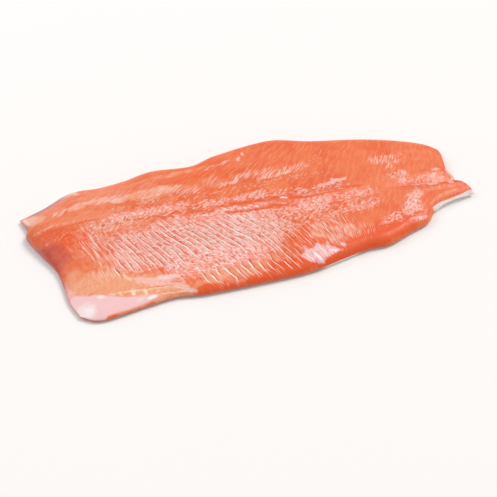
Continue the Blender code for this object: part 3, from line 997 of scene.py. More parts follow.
@dataclass(frozen=True)
class RawTroutFlesh:
    """Raw trout muscle, cut with a knife and wet: salmon orange, pale along each seam of fat.

    Light goes a little way in, and a thin wet film gives it a soft gloss that the grain breaks up.
    Places across a flake are fractions of it, from one seam (0) to the next (1).

    Attributes:
        salmon: The muscle's sRGB colour.
        warm: Its colour in redder clouds.
        light: Its colour in paler shreds.
        shred_span: Where in their noise the shreds start, and where they would be full.
        seam: The white line of fat on a seam. The other two lie where it does.
        seam_edge: The pale end of a flake, under the film.
        seam_gap_shade: The dark gap behind a seam: painted shade where the flake drops, over deeper orange
            muscle.
        edge_span: Where a flake's pale end starts and is palest.
        edge_strength: How strong the pale end is at most.
        gap_opens: Where the gap starts and is darkest.
        gap_closes: Where it starts to fade and is gone.
        line_reach: Half the white line's width, where seams are thin and where they are broad.
        line_uneven: What the width is multiplied by where the line is thinnest and thickest.
        line_strength: How strong the line is in its middle. Over 1, it has a core of full white.
        line_relief: How far a white line stands up.
        reliefs: The noises that roughen the surface, and how far each one raises it.
        smooth_relief: The share of that relief that smooth places have.
        roughness: Its roughness where its grain is smoothest and roughest.
        tints: The colours under the seams, from the lowest up.
        over_tints: The colours over the seams.
    """

    salmon: str = "#EE7440"
    warm: str = "#E96534"
    light: str = "#F58C60"
    shred_span: Point = (0.35, 1.6)
    seam: Tint = Tint(Zone.SEPTA, "#FFF0E8", Grain.BREAK, 0.40, 1.0, 7 / 9)
    seam_edge: str = "#FCC8BC"
    # The dark gap behind a seam is painted shade where the flake drops, over deeper orange muscle.
    seam_gap_shade: str = "#CE4C26"
    edge_span: Point = (0.50, 1.0)
    edge_strength: float = 0.85
    gap_opens: Point = (0.06, 0.13)
    gap_closes: Point = (0.18, 0.38)
    line_reach: Point = (0.115, 0.26)
    line_uneven: Point = (0.5, 1.2)
    line_strength: float = 1.3
    line_relief: float = 0.3 * MM
    reliefs: tuple[tuple[Grain, float], ...] = ((Grain.SLIVER, 0.25 * MM), (Grain.GLINT, 0.35 * MM))
    smooth_relief: float = 0.10
    roughness: Point = (0.36, 0.56)
    tints: tuple[Tint, ...] = (
        Tint(Zone.PALE, "#F28C66", Grain.DRIFT, 0.80),
        Tint(Zone.DEEP, "#EE5C26", Grain.DRIFT, 0.80),
        Tint(Zone.PALE, "#F9AE90", Grain.STRAND, 0.35, 0.75, 0.42),
        Tint(Zone.PEACH, "#F4A57E", Grain.DRIFT, 0.80),
        Tint(Zone.PEACH, "#EE9066", Grain.FIBRE, 0.40, 0.60, 0.36),
        Tint(Zone.PEACH, "#FBC29E", Grain.HAIR, 0.40, 0.60, 0.34),
        # The film: pink over the flakes, partly painted sheen; its white glint specks are painted highlights.
        Tint(Zone.FILM, "#FD9F8D", Grain.MOTTLE, 0.70),
        Tint(Zone.FILM, "#FFD2CC", Grain.SHRED, 0.50, 0.95, 0.40),
        Tint(Zone.FILM, "#E5613A", Grain.SLIVER, 0.22, 0.95, 0.38),
        Tint(Zone.FILM, "#FFE8E4", Grain.GLINT, 0.22, 1.0, 0.32),
        Tint(Zone.STRAND, "#FCBFAE", Grain.STRAND, 0.25, 0.95),
        Tint(Zone.STREAK, "#E4663E", Grain.SPECK, 0.40, 0.6, 0.7),
        Tint(Zone.STREAK, "#FCC2B3", Grain.BRISTLE, 0.35, 0.95),
    )
    over_tints: tuple[Tint, ...] = (
        # Deeper orange muscle, with painted shade in the midline's groove and the tail's cleft.
        Tint(Zone.GROOVE, "#EA5A22", Grain.SHRED, 0.80, 0.9),
        # Painted shade: darker red at the head cut, in the midline's groove and in creases at the tail.
        Tint(Zone.SHADE, "#CC4B3A", Grain.DRIFT, 1.40),
        Tint(Zone.FLECK, "#FCC6B8", Grain.SPECK, 0.30, 0.9),
        Tint(Zone.FLECK, "#CE5A34", Grain.HAIR, 0.20, 0.75, 0.5),
        Tint(Zone.FLAP, "#F9CACB", Grain.DRIFT, 1.50),
        Tint(Zone.CREAM, "#FEE6CE", Grain.MOTTLE, 1.20, 0.90),
        # Painted highlight: the whitish gloss of the wet patch near the belly edge.
        Tint(Zone.GLOSS, "#FBC9CC", Grain.SLIVER, 0.45, 0.95),
        # Painted sheen: pink highlights on the wet surface.
        Tint(Zone.SHEEN, "#FCC6BE", Grain.GLINT, 1.10, 0.85),
        # Purple-grey rim: the skin's edge with painted shade.
        Tint(Zone.RIM, "#BC7882", Grain.DRIFT, 2.00, 0.90),
        # White: painted highlights, and the skin's white edge at the tail.
        Tint(Zone.WHITE, "#FFF2F2", Grain.DRIFT, 1.60, 0.97),
    )

    def material(self) -> bpy.types.Material:
        """Make the material.

        Returns:
            The new material.
        """
        material, add, shader = start_material("raw_trout_muscle")
        grains = self.add_grains(add)
        start, full = self.shred_span
        shreds = add("ShaderNodeMapRange", {
            "Value": grains[Grain.SHRED], "From Min": start, "From Max": full,
        })
        seams = self.seam_covers(add, grains)
        under, over = (
            [(self.tint_cover(add, grains, tint), tint.colour) for tint in tints]
            for tints in (self.tints, self.over_tints)
        )
        layers = [(grains[Grain.CLOUD], self.warm), (shreds, self.light), *under]
        layers += [*zip(seams, (self.seam_edge, self.seam_gap_shade, self.seam.colour)), *over]
        colour = linear(self.salmon)
        for cover, tone in layers:
            colour = add("ShaderNodeMix", {"Factor": cover, "A": colour, "B": linear(tone)}, data_type="RGBA")
        normal = add("ShaderNodeBump", {"Height": seams[-1], "Strength": 0.3, "Distance": self.line_relief})
        grainy = add("ShaderNodeAttribute", attribute_name=GRAINY).outputs["Fac"]
        rise = add("ShaderNodeMapRange", {"Value": grainy, "To Min": self.smooth_relief, "To Max": 1.0})
        for grain, depth in self.reliefs:
            normal = add("ShaderNodeBump", {
                "Height": grains[grain], "Strength": rise, "Distance": depth, "Normal": normal,
            })
        rough = add("ShaderNodeMapRange", {
            "Value": grains[Grain.SPECK], "To Min": self.roughness[0], "To Max": self.roughness[1],
        })
        fill_node(shader, {
            "Base Color": colour, "Normal": normal, "Roughness": rough, "IOR": 1.40,
            "Subsurface Weight": 0.15, "Subsurface Radius": (1.0, 0.35, 0.2), "Subsurface Scale": 1.5 * MM,
            "Coat Weight": 0.14, "Coat Roughness": 0.18, "Coat IOR": 1.33,
        })
        return material

    @staticmethod
    def add_grains(add: Adder) -> Grains:
        """Add every noise to a material.

        Args:
            add: The function that adds a node.

        Returns:
            The node of each noise, spread evenly from 0 to 1.
        """
        place = add("ShaderNodeTexCoord").outputs["Object"]
        flow = add("ShaderNodeAttribute", attribute_name=FLAKE_FLOW).outputs["Vector"]
        grains = {}
        for number, grain in enumerate(Grain):
            cell = grain.value
            laid = add("ShaderNodeMapping", {
                "Vector": flow if cell.on_flakes else place,
                "Location": (number * NOISE_SHIFT[0], number * NOISE_SHIFT[1], 0.0),
                "Rotation": (0.0, 0.0, radians(cell.turn)),
                "Scale": (cell.length * MM, cell.width * MM, cell.width * MM),
            }, vector_type="TEXTURE")
            noise = add("ShaderNodeTexNoise", {"Vector": laid, "Scale": 1.0, "Detail": 1.5})
            grains[grain] = add("ShaderNodeMapRange", {
                "Value": noise, "From Min": NOISE_LOW, "From Max": NOISE_HIGH,
            })
        return grains

    @staticmethod
    def tint_cover(add: Adder, grains: Grains, tint: Tint) -> bpy.types.Node:
        """Break one tint's cover up with its noise.

        Args:
            add: The function that adds a node.
            grains: The noises.
            tint: The tint.

        Returns:
            The node that says how strongly the tint shows at each point.
        """
        cover = add("ShaderNodeAttribute", attribute_name=tint.zone.value).outputs["Fac"]
        reach = 1 + 2 * tint.soft
        broken = add("ShaderNodeMath", {
            0: cover, 1: tint.share * reach, 2: grains[tint.grain],
        }, operation="MULTIPLY_ADD")
        return add("ShaderNodeMapRange", {
            "Value": broken, "From Min": 1.0, "From Max": reach, "To Max": tint.most,
        })

    def seam_covers(self, add: Adder, grains: Grains) -> list[bpy.types.Node]:
        """Work out where the seams show.

        Args:
            add: The function that adds a node.
            grains: The noises.

        Returns:
            How strongly a flake's pale end, the dark gap (painted shade over deeper orange) and the white
            line show at each point.
        """
        shown = self.tint_cover(add, grains, self.seam)
        phase, broad, film = (
            add("ShaderNodeAttribute", attribute_name=name).outputs["Fac"]
            for name in (FLAKE_PHASE, Zone.BROAD.value, Zone.FILM.value)
        )
        past = add("ShaderNodeMath", {0: phase}, operation="FRACT")
        away = add("ShaderNodeMath", {0: phase, 1: 0.5}, operation="PINGPONG")
        ends, opens, closes = (
            add("ShaderNodeMapRange", {
                "Value": past, "From Min": start, "From Max": full, "To Min": low, "To Max": high,
            }, interpolation_type="SMOOTHSTEP")
            for (start, full), low, high in (
                (self.edge_span, 0.0, self.edge_strength), (self.gap_opens, 0.0, 1.0),
                (self.gap_closes, 1.0, 0.0),
            )
        )
        half, uneven = (
            add("ShaderNodeMapRange", {"Value": noise, "To Min": least, "To Max": most})
            for noise, (least, most) in ((broad, self.line_reach), (grains[Grain.SLIVER], self.line_uneven))
        )
        reach, edge, gap = (
            add("ShaderNodeMath", {0: first, 1: second}, operation="MULTIPLY")
            for first, second in ((half, uneven), (ends, film), (opens, closes))
        )
        line = add("ShaderNodeMapRange", {
            "Value": away, "From Min": 0.0, "From Max": reach, "To Min": self.line_strength, "To Max": 0.0,
        })
        return [
            add("ShaderNodeMath", {0: part, 1: shown}, operation="MULTIPLY", use_clamp=True)
            for part in (edge, gap, line)
        ]


@dataclass(frozen=True)
class TroutSkin:
    """Trout skin with its scales on: silver-white at the belly, a rosy band, grey and spotted at the back.

    The scales catch the light in small facets. The cut rim is a darker salmon, and white where it
    turns up.

    Attributes:
        belly: The belly's sRGB colour.
        shades: Each colour further up: where it starts and where it is full, from the belly edge (-1)
            by the midline (0) to the back edge (1), and the colour.
        spot: The spots' colour.
        rim: The colour of the cut rim.
        lip: Its colour where it turns up.
        scale_size: Width of a scale, drawn as coarse as it needs to show.
        scale_relief: How far a scale stands up.
        spot_spacing: Usual distance between spots.
        spot_edge: Where a spot's edge starts and ends, as shares of the spacing.
        spot_span: Where the spots start and are darkest, as for the colours.
        cloud_size: Width of the clouds that the colours stray in.
        cloud_sway: How far they stray.
        roughness: Its roughness in the middle of a scale and at its edge.
    """

    belly: str = "#E9E4E2"
    shades: tuple[tuple[float, float, str], ...] = (
        (-0.30, 0.00, "#D9AFAE"), (0.15, 0.42, "#B9B9B6"), (0.50, 0.95, "#5D665F"),
    )
    spot: str = "#2E3230"
    rim: str = "#D98672"
    lip: str = "#FBEFEC"
    scale_size: float = 2.6 * MM
    scale_relief: float = 0.3 * MM
    spot_spacing: float = 11 * MM
    spot_edge: Point = (0.14, 0.20)
    spot_span: Point = (0.15, 0.40)
    cloud_size: float = 20 * MM
    cloud_sway: float = 0.3
    roughness: Point = (0.22, 0.42)

    def material(self) -> bpy.types.Material:
        """Make the material.

        Returns:
            The new material.
        """
        material, add, shader = start_material("trout_skin_with_scales")
        place = add("ShaderNodeTexCoord").outputs["Object"]
        across, rim, lip = (
            add("ShaderNodeAttribute", attribute_name=name).outputs["Fac"]
            for name in (SKIN_SIDE, SKIN_RIM, SKIN_LIP)
        )
        cloud = add("ShaderNodeTexNoise", {"Vector": place, "Scale": 1 / self.cloud_size, "Detail": 3.0})
        swayed = add("ShaderNodeMath", {0: cloud, 1: self.cloud_sway, 2: across}, operation="MULTIPLY_ADD")
        layers = [
            (add("ShaderNodeMapRange", {"Value": swayed, "From Min": start, "From Max": full}), tone)
            for start, full, tone in (*self.shades, (*self.spot_span, self.spot))
        ]
        high, spot = layers.pop()
        cells = add("ShaderNodeTexVoronoi", {"Vector": place, "Scale": 1 / self.spot_spacing})
        dots = add("ShaderNodeMapRange", {
            "Value": cells, "From Min": self.spot_edge[0], "From Max": self.spot_edge[1],
            "To Min": 1.0, "To Max": 0.0,
        })
        spotted = add("ShaderNodeMath", {0: dots, 1: high}, operation="MULTIPLY")
        layers += [(spotted, spot), (rim, self.rim), (lip, self.lip)]
        colour = linear(self.belly)
        for cover, tone in layers:
            colour = add("ShaderNodeMix", {"Factor": cover, "A": colour, "B": linear(tone)}, data_type="RGBA")
        scales = add("ShaderNodeTexVoronoi", {
            "Vector": place, "Scale": 1 / self.scale_size,
        }, feature="SMOOTH_F1")
        relief = add("ShaderNodeBump", {"Height": scales, "Strength": 0.5, "Distance": self.scale_relief})
        gleam = add("ShaderNodeMapRange", {
            "Value": scales, "From Max": 0.7, "To Min": self.roughness[0], "To Max": self.roughness[1],
        })
        fill_node(shader, {
            "Base Color": colour, "Normal": relief, "Roughness": gleam, "IOR": 1.45, "Metallic": 0.15,
            "Coat Weight": 0.3, "Coat Roughness": 0.15,
        })
        return material


@dataclass(frozen=True)
class TroutFat:
    """Raw fish fat: firm, cream white and a little see-through, with a wet gloss.

    Attributes:
        name: The material's name.
        colour: Its sRGB colour.
        thin: Its colour where it is thin and the flesh shows through.
        cloud_size: Width of the thin places.
    """

    name: str = "trout_fat"
    colour: str = "#FCCDBC"
    thin: str = "#F6A78F"
    cloud_size: float = 8 * MM

    def material(self) -> bpy.types.Material:
        """Make the material.

        Returns:
            The new material.
        """
        material, add, shader = start_material(self.name)
        place = add("ShaderNodeTexCoord").outputs["Object"]
        cloud = add("ShaderNodeTexNoise", {"Vector": place, "Scale": 1 / self.cloud_size, "Detail": 1.0})
        colour = add("ShaderNodeMix", {
            "Factor": cloud, "A": linear(self.colour), "B": linear(self.thin),
        }, data_type="RGBA")
        fill_node(shader, {
            "Base Color": colour, "Roughness": 0.3, "IOR": 1.45,
            "Subsurface Weight": 0.3, "Subsurface Scale": 1.5 * MM,
        })
        return material


def make_object(name: str, points: Array, faces: list, values: dict[str, Array]) -> bpy.types.Object:
    """Make a smooth-shaded mesh object at the origin.

    Args:
        name: The object's name.
        points: The place of each vertex.
        faces: The vertices of each face.
        values: Numbers to keep at the vertices, by attribute name.

    Returns:
        The new object.
    """
    mesh = bpy.data.meshes.new(name)
    mesh.from_pydata(points.tolist(), [], faces)
    for key, numbers in values.items():
        mesh.attributes.new(key, "FLOAT", "POINT").data.foreach_set("value", numbers.astype(np.float32))
    mesh.shade_smooth()
    item = bpy.data.objects.new(name, mesh)
    bpy.context.scene.collection.objects.link(item)
    return item


# The socket that takes each type of value.
SOCKETS = {
    float: "NodeSocketFloat", int: "NodeSocketInt",
    bpy.types.Object: "NodeSocketObject", bpy.types.Material: "NodeSocketMaterial",
}


class Recipe:
    """A Geometry Nodes tree with named inputs, which runs once on one object.

    Attributes:
        add: The function that adds a node to the tree.
        inputs: The tree's inputs, by name.
        values: The value of each input, by the identifier of its socket.
    """

    def __init__(self, name: str, values: dict[str, object]) -> None:
        """Start the tree.

        Args:
            name: The tree's name.
            values: The value of each input, by name. One of them is the material, "Finish".
        """
        self.tree = bpy.data.node_groups.new(name, "GeometryNodeTree")
        sockets = self.tree.interface
        for way in ("INPUT", "OUTPUT"):
            sockets.new_socket("Geometry", in_out=way, socket_type="NodeSocketGeometry")
        self.values = {}
        for label, value in values.items():
            kind = next(kind for base, kind in SOCKETS.items() if isinstance(value, base))
            self.values[sockets.new_socket(label, in_out="INPUT", socket_type=kind).identifier] = value
        self.add = partial(add_node, self.tree)
        self.inputs = self.add("NodeGroupInput").outputs

    def cook(self, item: bpy.types.Object, made: bpy.types.Node) -> None:
        """End the tree, run it on an object and keep the result as its plain mesh.

        Args:
            item: The object.
            made: The node whose geometry is kept.
        """
        smooth = self.add("GeometryNodeSetShadeSmooth", {0: made})
        real = self.add("GeometryNodeRealizeInstances", {0: smooth})
        dressed = self.add("GeometryNodeSetMaterial", {"Geometry": real, "Material": self.inputs["Finish"]})
        self.add("NodeGroupOutput", {0: dressed})
        modifier = item.modifiers.new(self.tree.name, "NODES")
        modifier.node_group = self.tree
        for identifier, value in self.values.items():
            modifier[identifier] = value
        depsgraph = bpy.context.evaluated_depsgraph_get()
        mesh = bpy.data.meshes.new_from_object(item.evaluated_get(depsgraph))
        item.modifiers.remove(modifier)
        item.data = mesh
        mesh.name = item.name


@dataclass
class Flesh:
    """The flesh: a fine crowned surface with raised flakes, over a flat underside.

    Attributes:
        form: The fillet's shape.
        flakes: How the seams between the flakes run.
        finish: The flesh's finish.
        spacing: How fine its grid is.
        curl_loops: Grid lines that the curled edge of the underside has.
        free_span: Where the relief starts and is full, in from the edge.
        flake_pitch: Usual distance between seams along the midline.
        flake_depth: How far a flake drops behind a seam.
        flake_drop: Where across a flake the drop starts and is deepest, as fractions of it.
        wobble: How far the seams stray, as a fraction of the pitch.
        strays: The widths of the waves that the seams stray in, and how much each one adds.
        ripple_size: Width of the small unevenness.
        ripple_depth: Its depth.
        swell_size: Width of the large unevenness.
        swell_depth: Its depth.
        smooth_ripple: The share of the small unevenness that smooth places have.
    """

    form: Form
    flakes: Flakes = Flakes()
    finish: RawTroutFlesh = RawTroutFlesh()
    spacing: Spacing = Spacing((0.0, 0.0006, 0.0016, 0.0032), 500, (0.0, 0.003, 0.009, 0.020), 87)
    curl_loops: int = 6
    free_span: Point = (0.5 * MM, 5 * MM)
    flake_pitch: float = 8.6 * MM
    flake_depth: float = 0.80 * MM
    flake_drop: Point = (0.02, 0.16)
    wobble: float = 0.85
    strays: tuple[Point, ...] = ((24 * MM, 1.0), (8 * MM, 0.55))
    ripple_size: float = 4.0 * MM
    ripple_depth: float = 0.70 * MM
    swell_size: float = 28 * MM
    swell_depth: float = 0.6 * MM
    smooth_ripple: float = 0.2

    def build(self) -> bpy.types.Object:
        """Build and dress the flesh.

        Returns:
            The finished piece.
        """
        plan = self.form.plan(self.spacing)
        points, faces = self.shell(plan)
        x, y = self.plan_places(points)
        midline = plan.points[:, plan.middle]
        depth = np.interp(x, *self.plan_places(midline)) - y
        covers = paint(x, y)
        free = np.zeros(len(points))
        free[:plan.numbers.size] = ease(plan.edge, *self.free_span).ravel()
        item = make_object("flesh_muscle", points, faces, {
            **{zone.value: cover for zone, cover in covers.items()},
            GRAINY: np.max([covers[zone] for zone in GRAINY_ZONES], axis=0),
            FLAKE_COUNT: self.flakes.count_of(x, depth), FLAKE_DEPTH: depth * MM, FREE: free,
        })
        self.raise_flakes(item)
        return item

    def plan_places(self, points: Array) -> tuple[Array, Array]:
        """Turn places in metres into places on the plan.

        Args:
            points: The places in metres.

        Returns:
            The places along and across the plan, in millimetres.
        """
        low, high = np.array(self.form.low[:2]), np.array(self.form.high[:2])
        fraction = (points[:, :2] - low) / (high - low) - 0.5
        return fraction[:, 0] * PLAN_LENGTH, fraction[:, 1] * PLAN_WIDTH

    def shell(self, plan: Plan) -> tuple[Array, list]:
        """Build the closed surface: the crowned top, the curled edge and the flat middle below.

        Args:
            plan: The grid.

        Returns:
            The vertices, the grid's first, and the faces.
        """
        top = plan.at_height(self.form.top_height(plan))
        under = self.form.under_height(plan)
        faces = plan.cells().tolist()
        lower = {place: int(plan.numbers[place]) for place in plan.loop(0)}
        added = []
        for depth in range(1, self.curl_loops + 1):
            for place in plan.loop(depth):
                lower[place] = len(top) + len(added)
                added.append((*plan.points[place], under[place]))
        rows, columns = plan.numbers.shape
        for i, j in np.ndindex(rows - 1, columns - 1):
            inner = min(i, rows - 2 - i, j, columns - 2 - j)
            if inner < self.curl_loops:
                faces.append([lower[i, j], lower[i, j + 1], lower[i + 1, j + 1], lower[i + 1, j]])
        faces.append([lower[place] for place in reversed(plan.loop(self.curl_loops))])
        return np.vstack([top, added]), faces

    def raise_flakes(self, item: bpy.types.Object) -> None:
        """Give the surface its flakes and unevenness, and work out the phase that the finish reads.

        Args:
            item: The smooth flesh.
        """
        recipe = Recipe("flake_relief", {
            "Flake pitch": self.flake_pitch, "Flake depth": self.flake_depth, "Wobble": self.wobble,
            "Ripple size": self.ripple_size, "Ripple depth": self.ripple_depth,
            "Swell size": self.swell_size, "Swell depth": self.swell_depth,
            "Finish": self.finish.material(),
        })
        add, inputs = recipe.add, recipe.inputs
        places = add("GeometryNodeInputPosition")
        phase, depth, cover, grainy, free = (
            add("GeometryNodeInputNamedAttribute", {"Name": name}, data_type="FLOAT")
            for name in (FLAKE_COUNT, FLAKE_DEPTH, Zone.SEPTA.value, GRAINY, FREE)
        )
        for size, share in self.strays:
            stray = add("ShaderNodeTexNoise", {"Vector": places, "Scale": 1 / size, "Detail": 1.0})
            centred = add("ShaderNodeMath", {0: stray, 1: 0.5}, operation="SUBTRACT")
            part = add("ShaderNodeMath", {0: centred, 1: share}, operation="MULTIPLY")
            phase = add("ShaderNodeMath", {0: part, 1: inputs["Wobble"], 2: phase}, operation="MULTIPLY_ADD")
        across = add("ShaderNodeMath", {0: phase, 1: inputs["Flake pitch"]}, operation="MULTIPLY")
        flow = add("ShaderNodeCombineXYZ", {"X": depth, "Y": across})
        kept = inputs["Geometry"]
        for name, value, kind in ((FLAKE_PHASE, phase, "FLOAT"), (FLAKE_FLOW, flow, "FLOAT_VECTOR")):
            kept = add("GeometryNodeStoreNamedAttribute", {
                "Geometry": kept, "Name": name, "Value": value,
            }, data_type=kind, domain="POINT")
        past = add("ShaderNodeMath", {0: phase}, operation="FRACT")
        start, deepest = self.flake_drop
        falls = add("ShaderNodeMapRange", {
            "Value": past, "From Min": start, "From Max": deepest, "To Min": 0.0, "To Max": -1.0,
        }, interpolation_type="SMOOTHSTEP")
        climbs = add("ShaderNodeMapRange", {
            "Value": past, "From Min": deepest, "From Max": 1.0, "To Min": 0.0, "To Max": 1.0,
        })
        step = add("ShaderNodeMath", {0: falls, 1: climbs}, operation="ADD")
        flake = add("ShaderNodeMath", {0: step, 1: cover}, operation="MULTIPLY")
        lift = add("ShaderNodeMath", {0: flake, 1: inputs["Flake depth"]}, operation="MULTIPLY")
        for kind, calm in (("Ripple", self.smooth_ripple), ("Swell", 1.0)):
            scale = add("ShaderNodeMath", {0: 1.0, 1: inputs[f"{kind} size"]}, operation="DIVIDE")
            noise = add("ShaderNodeTexNoise", {"Vector": places, "Scale": scale, "Detail": 2.0})
            sunk = add("ShaderNodeMath", {0: noise, 1: 1.0}, operation="SUBTRACT")
            share = add("ShaderNodeMapRange", {"Value": grainy, "To Min": calm, "To Max": 1.0})
            depth = add("ShaderNodeMath", {0: share, 1: inputs[f"{kind} depth"]}, operation="MULTIPLY")
            lift = add("ShaderNodeMath", {0: sunk, 1: depth, 2: lift}, operation="MULTIPLY_ADD")
        held = add("ShaderNodeMath", {0: lift, 1: free}, operation="MULTIPLY")
        offset = add("ShaderNodeCombineXYZ", {"Z": held})
        recipe.cook(item, add("GeometryNodeSetPosition", {"Geometry": kept, "Offset": offset}))


@dataclass
class FatBits:
    """Small rounded bits of fat on the flesh.

    Attributes:
        flesh: The flesh that they lie on.
        name: The name of the piece.
        finish: Their finish.
        radius: A bit's radius before it is squashed.
        least: Its smallest length, width and height, as shares of the radius.
        most: Its largest ones.
        seed: The seed of their places, turns and sizes.
    """

    flesh: bpy.types.Object
    name: str
    finish: TroutFat
    radius: float
    least: Place
    most: Place
    seed: int

    def build(self) -> bpy.types.Object:
        """Build and dress the bits.

        Returns:
            The finished piece, which holds them all.
        """
        recipe = Recipe(self.name, {
            **self.sizes(), "Radius": self.radius, "Seed": self.seed, "Flesh": self.flesh,
            "Finish": self.finish.material(),
        })
        add, inputs = recipe.add, recipe.inputs
        flesh = add("GeometryNodeObjectInfo", {"Object": inputs["Flesh"]}).outputs["Geometry"]
        blob = add("GeometryNodeMeshIcoSphere", {"Radius": inputs["Radius"], "Subdivisions": 2})
        size = add("FunctionNodeRandomValue", {
            "Min": self.least, "Max": self.most, "Seed": inputs["Seed"],
        }, data_type="FLOAT_VECTOR")
        placed = add("GeometryNodeInstanceOnPoints", {
            "Instance": blob.outputs["Mesh"], "Scale": size, **self.spread(recipe, flesh),
        })
        item = make_object(self.name, self.starts(), [], {})
        recipe.cook(item, placed)
        return item

    def starts(self) -> Array:
        """List the points that the tree starts from: none, unless a kind of bit has its own."""
        return np.zeros((0, 3))

    def sizes(self) -> dict[str, float]:
        """Name the sizes that only one kind of bit has."""
        raise NotImplementedError

    def spread(self, recipe: Recipe, flesh: bpy.types.NodeSocket) -> dict[str, Input]:
        """Place the bits. Each kind of bit has its own way.

        Args:
            recipe: The tree.
            flesh: The flesh.

        Returns:
            The points and, where the bits are turned, the turn at each one, by the name of the input.
        """
        raise NotImplementedError


@dataclass
class FatSpecks(FatBits):
    """Small specks of fat that stand a little out of the loin.

    Attributes:
        density: Specks on each square metre where the flecks are densest.
        spin: How far a speck is turned each way, in radians.
    """

    name: str = "fat_specks"
    finish: TroutFat = TroutFat()
    radius: float = 0.60 * MM
    least: Place = (0.6, 0.4, 0.25)
    most: Place = (1.7, 0.9, 0.45)
    seed: int = 7
    density: float = 26000.0
    spin: float = 0.9

    def sizes(self) -> dict[str, float]:
        """Name the size that only the specks have."""
        return {"Density": self.density}

    def spread(self, recipe: Recipe, flesh: bpy.types.NodeSocket) -> dict[str, Input]:
        """Scatter the specks where the flecks are.

        Args:
            recipe: The tree.
            flesh: The flesh.

        Returns:
            The specks' points and their turns.
        """
        add, inputs = recipe.add, recipe.inputs
        cover, free = (
            add("GeometryNodeInputNamedAttribute", {"Name": name}, data_type="FLOAT")
            for name in (Zone.FLECK.value, FREE)
        )
        inside = add("ShaderNodeMath", {0: cover, 1: free}, operation="MULTIPLY")
        amount = add("ShaderNodeMath", {0: inside, 1: inputs["Density"]}, operation="MULTIPLY")
        points = add("GeometryNodeDistributePointsOnFaces", {
            "Mesh": flesh, "Density": amount, "Seed": inputs["Seed"],
        }, distribute_method="RANDOM")
        spin = add("FunctionNodeRandomValue", {
            "Min": (0.0, 0.0, -self.spin), "Max": (0.0, 0.0, self.spin), "Seed": inputs["Seed"],
        }, data_type="FLOAT_VECTOR")
        turn = add("FunctionNodeRotateRotation", {
            "Rotation": points.outputs["Rotation"],
            "Rotate By": add("FunctionNodeEulerToRotation", {0: spin}),
        }, rotation_space="LOCAL")
        return {"Points": points.outputs["Points"], "Rotation": turn}


@dataclass
class PinBoneEnds(FatBits):
    """Rows of small pale dots where the pin bones and their fat were cut through.

    Attributes:
        rows: The path of each row on the plan, and the distance between its dots, in millimetres.
        jitter: How far a dot strays from its row.
        drop_from: The height that each dot is dropped onto the flesh from.
    """

    name: str = "pin_bone_ends"
    finish: TroutFat = TroutFat("pin_bone_fat", "#FAB294", "#F1926C")
    radius: float = 0.9 * MM
    least: Place = (0.9, 0.7, 0.20)
    most: Place = (1.7, 1.2, 0.35)
    seed: int = 3
    rows: tuple[tuple[tuple[Point, ...], float], ...] = (
        (((-64, 15), (-35, 20), (0, 22), (45, 24), (95, 22)), 8.6),
        (((-150, 22), (-115, 23), (-80, 22)), 9.5),
    )
    jitter: float = 1.3 * MM
    drop_from: float = 60 * MM

    def sizes(self) -> dict[str, float]:
        """Name the size that only the dots have."""
        return {"Jitter": self.jitter}

    def spread(self, recipe: Recipe, flesh: bpy.types.NodeSocket) -> dict[str, Input]:
        """Drop the dots onto the flesh, each a little off its row.

        Args:
            recipe: The tree.
            flesh: The flesh.

        Returns:
            The dots' points.
        """
        add, inputs = recipe.add, recipe.inputs
        high = inputs["Jitter"]
        low = add("ShaderNodeMath", {0: high, 1: -1.0}, operation="MULTIPLY")
        least, most = (add("ShaderNodeCombineXYZ", {"X": side, "Y": side}) for side in (low, high))
        stray = add("FunctionNodeRandomValue", {
            "Min": least, "Max": most, "Seed": inputs["Seed"],
        }, data_type="FLOAT_VECTOR")
        loose = add("GeometryNodeSetPosition", {"Geometry": inputs["Geometry"], "Offset": stray})
        landing = add("GeometryNodeRaycast", {
            "Target Geometry": flesh, "Ray Direction": (0.0, 0.0, -1.0), "Ray Length": 1.0,
        }).outputs["Hit Position"]
        return {"Points": add("GeometryNodeSetPosition", {"Geometry": loose, "Position": landing})}

    def starts(self) -> Array:
        """Space the dots along their rows, above the flesh.

        Returns:
            The place of each dot before it drops.
        """
        places = []
        for path, spacing in self.rows:
            knots = np.array(path, dtype=float)
            travelled = np.concatenate([[0.0], np.cumsum(np.linalg.norm(np.diff(knots, axis=0), axis=1))])
            stops = np.arange(0, travelled[-1], spacing)
            x, y = (np.interp(stops, travelled, side) * MM for side in knots.T)
            places.append(np.column_stack([x, y, np.full(len(stops), self.drop_from)]))
        return np.vstack(places)


